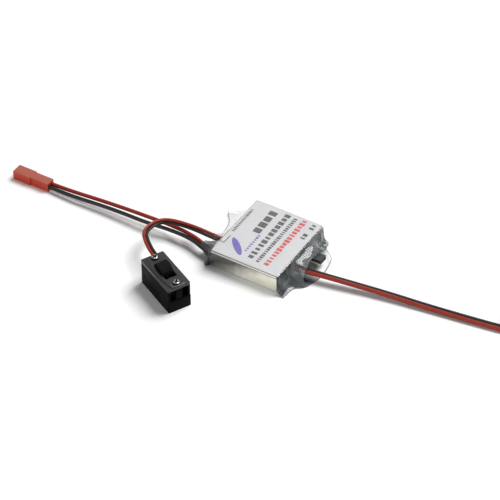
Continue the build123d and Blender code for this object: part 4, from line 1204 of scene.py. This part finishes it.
@dataclass
class FilmSleeve:
    """Clear film that is shrunk round the can and flares at both ends, with folds in its top.

    Sizes are in millimetres. The mesh has so many faces across each sheet, up each side, along
    the can and along each flare. A higher fold_count packs the folds closer, and a higher
    fold_waviness changes them more along the flare. The painted shade grows from none at the can
    to its full depth a set share of the way along the flare.
    """

    half_length: float = CAN_END
    half_width: float = 21.0
    top: float = 9.8
    bottom: float = 0.05
    thickness: float = 0.14
    across: int = 120
    up: int = 8
    along_can: int = 14
    along_flare: int = 22
    fold_depth: float = 0.4
    fold_count: float = 6.0
    fold_waviness: float = 0.8
    smoke_start: float = 0.25

    def sheet_point(self, flare: Flare, upper: bool, across: float, out: float) -> Vector:
        """Point on the upper or the lower sheet of a flare.

        Args:
            flare: The flare.
            upper: True for the upper sheet.
            across: Place across the film, -1 to 1.
            out: Place along the flare, 0 at the can and 1 at the lip.

        Returns:
            The point in millimetres, with how much painted shade the film carries there as its
            fourth value.
        """
        growth = flare.low_side_growth if across < 0 else flare.high_side_growth
        y = across * (self.half_width + growth * out)
        sheet = flare.upper if upper else flare.lower
        lip = eased(sheet.height, across)
        x = eased(sheet.reach, across) * out ** sheet.cling
        if upper:
            z = lip + (self.top - lip) * (1 - out) ** sheet.drop
            fold = noise.noise(Vector((across * self.fold_count, out * self.fold_waviness,
                                       flare.fold_seed)))
            x += self.fold_depth * (0.5 + fold) * math.sin(math.pi * out) ** 2
        else:
            z = self.bottom + (lip - self.bottom) * out ** 3
        # Painted dark reflection and shade: none at the can, eased off towards the lip, and a grey
        # line right at the lip.
        smoke = eased(sheet.smoke, across) * (1 - sheet.clearing * out ** 2)
        smoke *= min(out / self.smoke_start, 1.0)
        if out == 1:
            smoke = max(smoke, flare.lip_smoke)
        return Vector((flare.side * (self.half_length + x), y, max(z, self.bottom), smoke))

    def ring(self, upper: list[Vector], lower: list[Vector]) -> list[Vector]:
        """Close a ring of points: across the top, down one side, back below and up the other.

        Args:
            upper: Points of the upper sheet, from the -Y side.
            lower: Points of the lower sheet, from the same side.

        Returns:
            The ring.
        """
        def wall(start: Vector, end: Vector) -> list[Vector]:
            return [start.lerp(end, step / self.up) for step in range(1, self.up)]
        lower = lower[::-1]
        return upper + wall(upper[-1], lower[0]) + lower + wall(lower[-1], upper[0])

    def flare_ring(self, flare: Flare, out: float) -> list[Vector]:
        """Make the ring of a flare at one place along it.

        Args:
            flare: The flare.
            out: The place, 0 at the can and 1 at the lip.

        Returns:
            The ring.
        """
        places = [2 * step / self.across - 1 for step in range(self.across + 1)]
        return self.ring([self.sheet_point(flare, True, place, out) for place in places],
                         [self.sheet_point(flare, False, place, out) for place in places])

    def can_ring(self, x: float) -> list[Vector]:
        """Make a ring round the can.

        Args:
            x: Where it is along the can, in millimetres.

        Returns:
            The ring.
        """
        places = [(2 * step / self.across - 1) * self.half_width for step in range(self.across + 1)]
        return self.ring([Vector((x, y, self.top, 0.0)) for y in places],
                         [Vector((x, y, self.bottom, 0.0)) for y in places])

    def build(self) -> bpy.types.Object:
        """Make the sleeve, give it its thickness and seat it.

        Returns:
            The sleeve.
        """
        outs = [step / self.along_flare for step in range(1, self.along_flare + 1)]
        left, right = input_flare(), output_flare()
        rings = [self.flare_ring(left, out) for out in reversed(outs)]
        rings += [self.can_ring(self.half_length * (2 * step / self.along_can - 1))
                  for step in range(self.along_can + 1)]
        rings += [self.flare_ring(right, out) for out in outs]
        count = len(rings[0])
        points = [point.xyz * MM for ring in rings for point in ring]
        faces = [(row * count + at, row * count + (at + 1) % count,
                  (row + 1) * count + (at + 1) % count, (row + 1) * count + at)
                 for row in range(len(rings) - 1) for at in range(count)]
        sleeve = new_object("film_sleeve", mesh_of("film_sleeve", points, faces))
        on_top_of_can = sleeve.data.polygons[(len(outs) + 2) * count + self.across // 2]
        if on_top_of_can.normal.z < 0:
            sleeve.data.flip_normals()
        # The painted shade reaches the material as a point attribute.
        smoke = sleeve.data.attributes.new("smoke", "FLOAT", "POINT")
        smoke.data.foreach_set("value", [point.w for ring in rings for point in ring])
        sleeve.data.materials.append(FILM.material())
        rounding = sleeve.modifiers.new("rounding", "SUBSURF")
        rounding.levels = rounding.render_levels = 1
        wall = sleeve.modifiers.new("wall", "SOLIDIFY")
        wall.thickness = self.thickness * MM
        wall.offset = -1.0
        plain_mesh(sleeve)
        smooth(sleeve, 50.0)
        return seat(sleeve, MODULE, FILM.slot, "heat_shrink_sleeve")


# ---------------------------------------------------------------------------------------------
# Label
# ---------------------------------------------------------------------------------------------
@cache
def row_tree() -> bpy.types.NodeTree:
    """Geometry nodes for a row of upright printed marks of uneven width.

    Returns:
        A tree with a count, a pitch, a height, a thickness, a seed and a material as its inputs.
    """
    smallest, largest = (0.72, 0.42, 1.0), (1.0, 0.84, 1.0)
    row = Group("printed_row", "GeometryNodeTree",
                {"Count": "Int", "Pitch": "Float", "Height": "Float", "Thickness": "Float",
                 "Seed": "Int", "Ink": "Material"}, {"Geometry": "Geometry"})
    given = row.given
    step = row.add("ShaderNodeCombineXYZ", {"Y": given["Pitch"]})
    line = row.add("GeometryNodeMeshLine", {"Count": given["Count"], "Offset": step.outputs[0]})
    size = row.add("ShaderNodeCombineXYZ", {"X": given["Height"], "Y": given["Pitch"],
                                            "Z": given["Thickness"]})
    mark = row.add("GeometryNodeMeshCube", {"Size": size.outputs[0]})
    swing = row.add("FunctionNodeRandomValue", {"Min": smallest, "Max": largest,
                                                "Seed": given["Seed"]}, data_type="FLOAT_VECTOR")
    row.copy_onto(line.outputs["Mesh"], mark.outputs["Mesh"], given["Ink"], swing.outputs["Value"])
    return row.tree


@dataclass
class PrintedRow:
    """One row of printed marks, which stand for words without spelling any.

    The row runs along Y from start to end, in millimetres, and its seed sets the marks' widths.
    """

    name: str
    x: float
    start: float
    end: float
    height: float
    pitch: float
    ink: Finish
    seed: int


@dataclass
class Label:
    """White label on the can, with rows of plain marks in place of words."""

    top: float = 9.55
    ink_thickness: float = 0.02
    film_gap: float = 0.01
    pointer_width: float = 0.5
    pointer_x: tuple[float, float] = (-17.9, -15.2)
    pointer_y: tuple[float, float] = (-13.2, -7.4)
    oval_centre: tuple[float, float] = (-8.9, -12.2)
    oval_halves: tuple[float, float] = (6.4, 1.7)
    oval_lean: float = -44.0
    oval_corners: int = 32
    rows: list[PrintedRow] = field(default_factory=lambda: [
        PrintedRow("pointer_row", -16.1, -4.4, 13.6, 1.7, 1.15, INK_BLACK, 3),
        PrintedRow("heading_row", -6.4, 0.0, 19.4, 4.4, 4.6, INK_BLACK, 11),
        PrintedRow("bold_row", 0.4, -16.4, 18.6, 3.2, 3.0, INK_BLACK, 5),
        PrintedRow("range_row", 4.7, -16.8, 18.8, 2.2, 1.55, INK_BLACK, 8),
        PrintedRow("red_row", 9.2, -16.8, 19.0, 3.0, 2.3, INK_RED, 14),
        PrintedRow("purple_row", -3.9, -13.4, 0.6, 1.5, 1.7, INK_PURPLE, 21),
        PrintedRow("small_marks", 14.3, 7.2, 12.4, 2.6, 2.4, INK_BLACK, 2),
        PrintedRow("end_marks", 14.5, 15.0, 20.0, 2.6, 2.4, INK_BLACK, 9)])

    def print_row(self, row: PrintedRow) -> None:
        """Print one row of marks on the label.

        Args:
            row: Its place, size and ink.
        """
        piece = grown(f"label_{row.name}", row_tree(), {
            "Count": max(1, round((row.end - row.start) / row.pitch)), "Pitch": row.pitch * MM,
            "Height": row.height * MM, "Thickness": self.ink_thickness * MM, "Seed": row.seed,
            "Ink": row.ink.material()})
        z = self.top + self.ink_thickness / 2 + self.film_gap
        piece.data.transform(Matrix.Translation(metres((row.x, row.start + row.pitch / 2, z))))
        seat(piece, MODULE, row.ink.slot)

    def print_shape(self, name: str, outline: list[tuple[float, float]], ink: Finish) -> None:
        """Print one flat closed shape.

        Args:
            name: The piece's name.
            outline: Corners in millimetres, anticlockwise from above.
            ink: Its ink.
        """
        low = self.top + self.film_gap
        count = len(outline)
        points = [metres((x, y, z)) for z in (low, low + self.ink_thickness) for x, y in outline]
        sides = [(at, (at + 1) % count, count + (at + 1) % count, count + at)
                 for at in range(count)]
        faces = [tuple(range(count))[::-1], tuple(range(count, 2 * count))] + sides
        piece = new_object(name, mesh_of(name, points, faces))
        piece.data.materials.append(ink.material())
        seat(piece, MODULE, ink.slot)

    def pointer_line(self) -> list[tuple[float, float]]:
        """Draw the line that runs along the label from its edge, then across it.

        Returns:
            Its corners in millimetres, anticlockwise from above.
        """
        (left, right), (low, high), width = self.pointer_x, self.pointer_y, self.pointer_width
        return [(left, low), (right, low), (right, high), (right - width, high),
                (right - width, low + width), (left, low + width)]

    def oval(self) -> list[tuple[float, float]]:
        """Draw the leaning oval.

        Returns:
            Its corners in millimetres, anticlockwise from above.
        """
        (x, y), (long_half, short_half) = self.oval_centre, self.oval_halves
        lean = math.radians(self.oval_lean)
        corners = []
        for step in range(self.oval_corners):
            angle = math.tau * step / self.oval_corners
            along, aside = long_half * math.cos(angle), short_half * math.sin(angle)
            corners.append((x + along * math.cos(lean) - aside * math.sin(lean),
                            y + along * math.sin(lean) + aside * math.cos(lean)))
        return corners

    def build(self) -> None:
        """Finish the label and print it."""
        dress(LABEL_PAPER, "label")
        for row in self.rows:
            self.print_row(row)
        self.print_shape("label_pointer_line", self.pointer_line(), INK_BLACK)
        self.print_shape("label_purple_oval", self.oval(), INK_PURPLE)


# ---------------------------------------------------------------------------------------------
# Can and board
# ---------------------------------------------------------------------------------------------
@dataclass
class ShieldCan:
    """Tin can: a tray and a cover whose folded rim laps down over it."""

    edge: float = 0.12

    def build(self) -> None:
        """Round the folds of the tin."""
        softened("shield_cover", self.edge, TIN)
        softened("shield_tray", self.edge, TIN)


@dataclass
class Board:
    """Circuit board and everything that is soldered to it."""

    def build(self) -> None:
        """Finish every piece inside the can."""
        dress(PAPER, "insulating_sheet")
        dress(SILICONE, "thermal_pad")
        dress(LAMINATE, "circuit_board")
        dress(FERRITE, "inductor_core", "filter_choke_core")
        dress(COPPER, "inductor_winding", "filter_choke_winding")
        dress(ALUMINIUM, "input_capacitors", "output_capacitors")
        dress(BLACK_PLASTIC, "capacitor_bases")
        dress(CHIP_PLASTIC, "power_transistors", "controller_chip", "rectifier_diode",
              "sense_resistor")
        dress(LEG_TIN, "chip_legs")
        dress(CERAMIC, "ceramic_chips")
        dress(LENS, "monitor_lamps")
        dress(SOLDER, "solder_joints")


@dataclass
class VoltageHeader:
    """Right-angle header in the mouth of the film, with its jumper."""

    edge: float = 0.18

    def build(self) -> None:
        """Finish the header, its pins and the jumper."""
        softened("header_base", self.edge, JUMPER_PLASTIC)
        softened("jumper_cap", self.edge, JUMPER_PLASTIC)
        dress(GILT, "header_pins", "jumper_clip")


@dataclass
class InputPlug:
    """Red two-pin plug at the end of the input lead."""

    edge: float = 0.16

    def build(self) -> list[bpy.types.Object]:
        """Finish the housing and its contacts, and give both."""
        return [softened("input_connector_housing", self.edge, RED_PLASTIC),
                *dress(GILT, "input_connector_contacts")]


@dataclass
class OutputPlug:
    """Three-pin plug and the tie round the wound lead."""

    edge: float = 0.14

    def build(self) -> list[bpy.types.Object]:
        """Finish the housing, the tie and the contacts, and give all three."""
        return [softened("output_connector_housing", self.edge, BLACK_PLASTIC),
                softened("coil_tie", self.edge, STRAP), *dress(GILT, "output_connector_contacts")]


# ---------------------------------------------------------------------------------------------
# Switch
# ---------------------------------------------------------------------------------------------
@cache
def ridge_tree() -> bpy.types.NodeTree:
    """Geometry nodes for rounded ridges spaced along an arc, as on a thumb knob.

    Returns:
        A tree with a count, a radius, a sweep, a ridge size and a material as its inputs.
    """
    ridge_sides = 14
    ridges = Group("knob_ridges", "GeometryNodeTree",
                   {"Count": "Int", "Radius": "Float", "Start Angle": "Float", "Sweep": "Float",
                    "Ridge Radius": "Float", "Ridge Length": "Float", "Finish": "Material"},
                   {"Geometry": "Geometry"})
    given = ridges.given
    arc = ridges.add("GeometryNodeCurveArc",
                     {"Resolution": given["Count"], "Radius": given["Radius"],
                      "Start Angle": given["Start Angle"], "Sweep Angle": given["Sweep"]})
    spots = ridges.add("GeometryNodeCurveToPoints", {"Curve": arc.outputs["Curve"]},
                       mode="EVALUATED")
    ridge = ridges.add("GeometryNodeMeshCylinder",
                       {"Vertices": ridge_sides, "Radius": given["Ridge Radius"],
                        "Depth": given["Ridge Length"]})
    ridges.copy_onto(spots.outputs["Points"], ridge.outputs["Mesh"], given["Finish"])
    return ridges.tree


@dataclass
class SlideSwitch:
    """Boxed slide switch: box, lid with a raised lens-shaped face, knob and two screws.

    Sizes are in millimetres in the switch's own frame, and the screws' turns in degrees. The knob
    is a slice of a round bar that goes knob_foot below the face. Its top is an arc that rises
    knob_rise above the face, of which dome_share is kept. The body and the ridges stop short of
    the half width by their insets, and the ridges' middles lie ridge_sink under the arc.
    """

    place: SwitchFrame = field(default_factory=SwitchFrame)
    face_top: float = 14.15
    knob_start: float = -5.5
    knob_length: float = 7.9
    knob_half_width: float = 2.8
    knob_rise: float = 2.7
    knob_foot: float = 1.2
    dome_share: float = 0.94
    dome_steps: int = 24
    ridges: int = 8
    ridge_radius: float = 0.3
    ridge_sink: float = 0.02
    ridge_inset: float = 0.05
    body_inset: float = 0.12
    edge: float = 0.16
    screw_offset: float = 9.9
    screw_turns: tuple[float, float] = (18.0, 52.0)
    shank_length: float = 3.0
    shank_radius: float = 0.9
    head_radius: float = 1.7
    head_height: float = 0.86
    head_round: float = 0.6
    head_crown: float = 0.14
    head_steps: int = 8
    screw_sides: int = 40
    recess_size: Point = (2.5, 0.78, 1.1)

    @property
    def knob_middle(self) -> float:
        """Where the knob's middle is along the switch."""
        return self.knob_start + self.knob_length / 2

    @property
    def dome_radius(self) -> float:
        """Radius of the knob's round top."""
        return ((self.knob_length / 2) ** 2 + self.knob_rise ** 2) / (2 * self.knob_rise)

    @property
    def dome_centre(self) -> float:
        """Height of the centre of the knob's round top."""
        return self.face_top + self.knob_rise - self.dome_radius

    @property
    def dome_spread(self) -> float:
        """Angle over which the knob's top is round, in radians."""
        return 2 * math.asin(self.knob_length / 2 / self.dome_radius) * self.dome_share

    def knob_body(self) -> bpy.types.Object:
        """Make the knob's domed body.

        Returns:
            The body, not seated yet.
        """
        foot, spread, radius = self.face_top - self.knob_foot, self.dome_spread, self.dome_radius
        profile = [(self.knob_start, foot), (self.knob_start + self.knob_length, foot)]
        for step in range(self.dome_steps + 1):
            angle = spread / 2 - spread * step / self.dome_steps
            profile.append((self.knob_middle + radius * math.sin(angle),
                            self.dome_centre + radius * math.cos(angle)))
        count = len(profile)
        half_width = self.knob_half_width - self.body_inset
        points = [metres((u, v, z)) for v in (-half_width, half_width) for u, z in profile]
        sides = [(at, count + at, count + (at + 1) % count, (at + 1) % count)
                 for at in range(count)]
        faces = [tuple(range(count)), tuple(range(count, 2 * count))[::-1]] + sides
        body = new_object("knob_body", mesh_of("knob_body", points, faces))
        body.data.materials.append(KNOB_PLASTIC.material())
        work = bmesh.new()
        work.from_mesh(body.data)
        bmesh.ops.recalc_face_normals(work, faces=work.faces)
        work.to_mesh(body.data)
        work.free()
        body.data.transform(self.place.matrix())
        smooth(body, 30.0)
        return body

    def knob_ridges(self) -> bpy.types.Object:
        """Make the ridges over the knob's round top.

        Returns:
            The ridges, not seated yet.
        """
        sweep = self.dome_spread * (self.ridges - 1) / self.ridges
        ridges = grown("knob_ridges", ridge_tree(), {
            "Count": self.ridges, "Radius": (self.dome_radius - self.ridge_sink) * MM,
            "Start Angle": math.pi / 2 - sweep / 2, "Sweep": sweep,
            "Ridge Radius": self.ridge_radius * MM,
            "Ridge Length": 2 * (self.knob_half_width - self.ridge_inset) * MM,
            "Finish": KNOB_PLASTIC.material()})
        stand = (Matrix.Translation(metres((self.knob_middle, 0.0, self.dome_centre)))
                 @ Matrix.Rotation(math.pi / 2, 4, "X"))
        ridges.data.transform(self.place.matrix() @ stand)
        smooth(ridges, 40.0)
        return ridges

    def build_knob(self) -> list[bpy.types.Object]:
        """Make the knob's body and its ridges, and give both."""
        return [seat(self.knob_body(), KNOB, KNOB_PLASTIC.slot, "switch_knob"),
                seat(self.knob_ridges(), KNOB, KNOB_PLASTIC.slot)]

    def build_screws(self) -> bpy.types.Object:
        """Make the two pan-head screws, each with a deep cross recess.

        Returns:
            Both screws in one piece.
        """
        work = bmesh.new()
        cutter = bmesh.new()
        for offset, turn in zip((-self.screw_offset, self.screw_offset), self.screw_turns):
            self.turn_screw(work, offset)
            for quarter in (0, 90):
                stand = (Matrix.Translation(metres((offset, 0.0, self.face_top + self.head_height)))
                         @ Matrix.Rotation(math.radians(turn + quarter), 4, "Z")
                         @ Matrix.Diagonal((*metres(self.recess_size), 1.0)))
                bmesh.ops.create_cube(cutter, size=1.0, matrix=stand)
        pieces = []
        for name, form in (("switch_screw_pair", work), ("recess_cutter", cutter)):
            mesh = bpy.data.meshes.new(name)
            form.to_mesh(mesh)
            form.free()
            pieces.append(new_object(name, mesh))
        screws, tool = pieces
        screws.data.materials.append(NICKEL.material())
        cut = screws.modifiers.new("recess", "BOOLEAN")
        cut.operation = "DIFFERENCE"
        cut.solver = "EXACT"
        cut.use_self = True
        cut.object = tool
        plain_mesh(screws)
        bpy.data.objects.remove(tool)
        screws.data.transform(self.place.matrix())
        smooth(screws, 40.0)
        return seat(screws, MODULE, NICKEL.slot, "switch_screws")

    def turn_screw(self, work: bmesh.types.BMesh, offset: float) -> None:
        """Add one screw's head and shank as a turned shape.

        Args:
            work: The mesh that it is added to.
            offset: Where it stands along the switch, in millimetres.
        """
        top = self.face_top + self.head_height
        profile = [(0.0, self.face_top - self.shank_length),
                   (self.shank_radius, self.face_top - self.shank_length),
                   (self.shank_radius, self.face_top), (self.head_radius, self.face_top)]
        for step in range(self.head_steps + 1):
            angle = math.pi / 2 * step / self.head_steps
            profile.append((self.head_radius - self.head_round * (1 - math.cos(angle)),
                            top - self.head_round * (1 - math.sin(angle))))
        profile.append((0.0, top + self.head_crown))
        rings = []
        for radius, z in profile:
            angles = [math.tau * step / self.screw_sides
                      for step in range(self.screw_sides if radius else 1)]
            rings.append([work.verts.new(metres((offset + radius * math.cos(angle),
                                                 radius * math.sin(angle), z)))
                          for angle in angles])
        for lower, upper in zip(rings, rings[1:]):
            for step in range(self.screw_sides):
                after = (step + 1) % self.screw_sides
                if len(lower) == 1:
                    work.faces.new((lower[0], upper[after], upper[step]))
                elif len(upper) == 1:
                    work.faces.new((lower[step], lower[after], upper[0]))
                else:
                    work.faces.new((lower[step], lower[after], upper[after], upper[step]))

    def build(self) -> list[bpy.types.Object]:
        """Make the knob and the screws, finish the rest, and give all of it."""
        return [softened("switch_housing", self.edge, BLACK_PLASTIC),
                softened("switch_lid", self.edge, LID_PLASTIC),
                self.build_screws(), *self.build_knob(),
                *dress(KNOB_PLASTIC, "switch_slider"),
                *dress(LEG_TIN, "switch_can", "switch_terminals"),
                *dress(PHENOLIC, "switch_base"), *dress(SOLDER, "switch_solder_joints")]


def main() -> None:
    """Build the studio, then the leads, then every piece of the module."""
    logging.basicConfig(level=logging.INFO, format="%(message)s")
    for part in (Studio(), InputLead(InputPlug().build()), SwitchLead(SlideSwitch().build()),
                 OutputLead(OutputPlug().build()), FilmSleeve(), ShieldCan(), Label(), Board(),
                 VoltageHeader()):
        part.build()
        log.info("%s done", type(part).__name__)


if __name__ == "__main__":
    main()
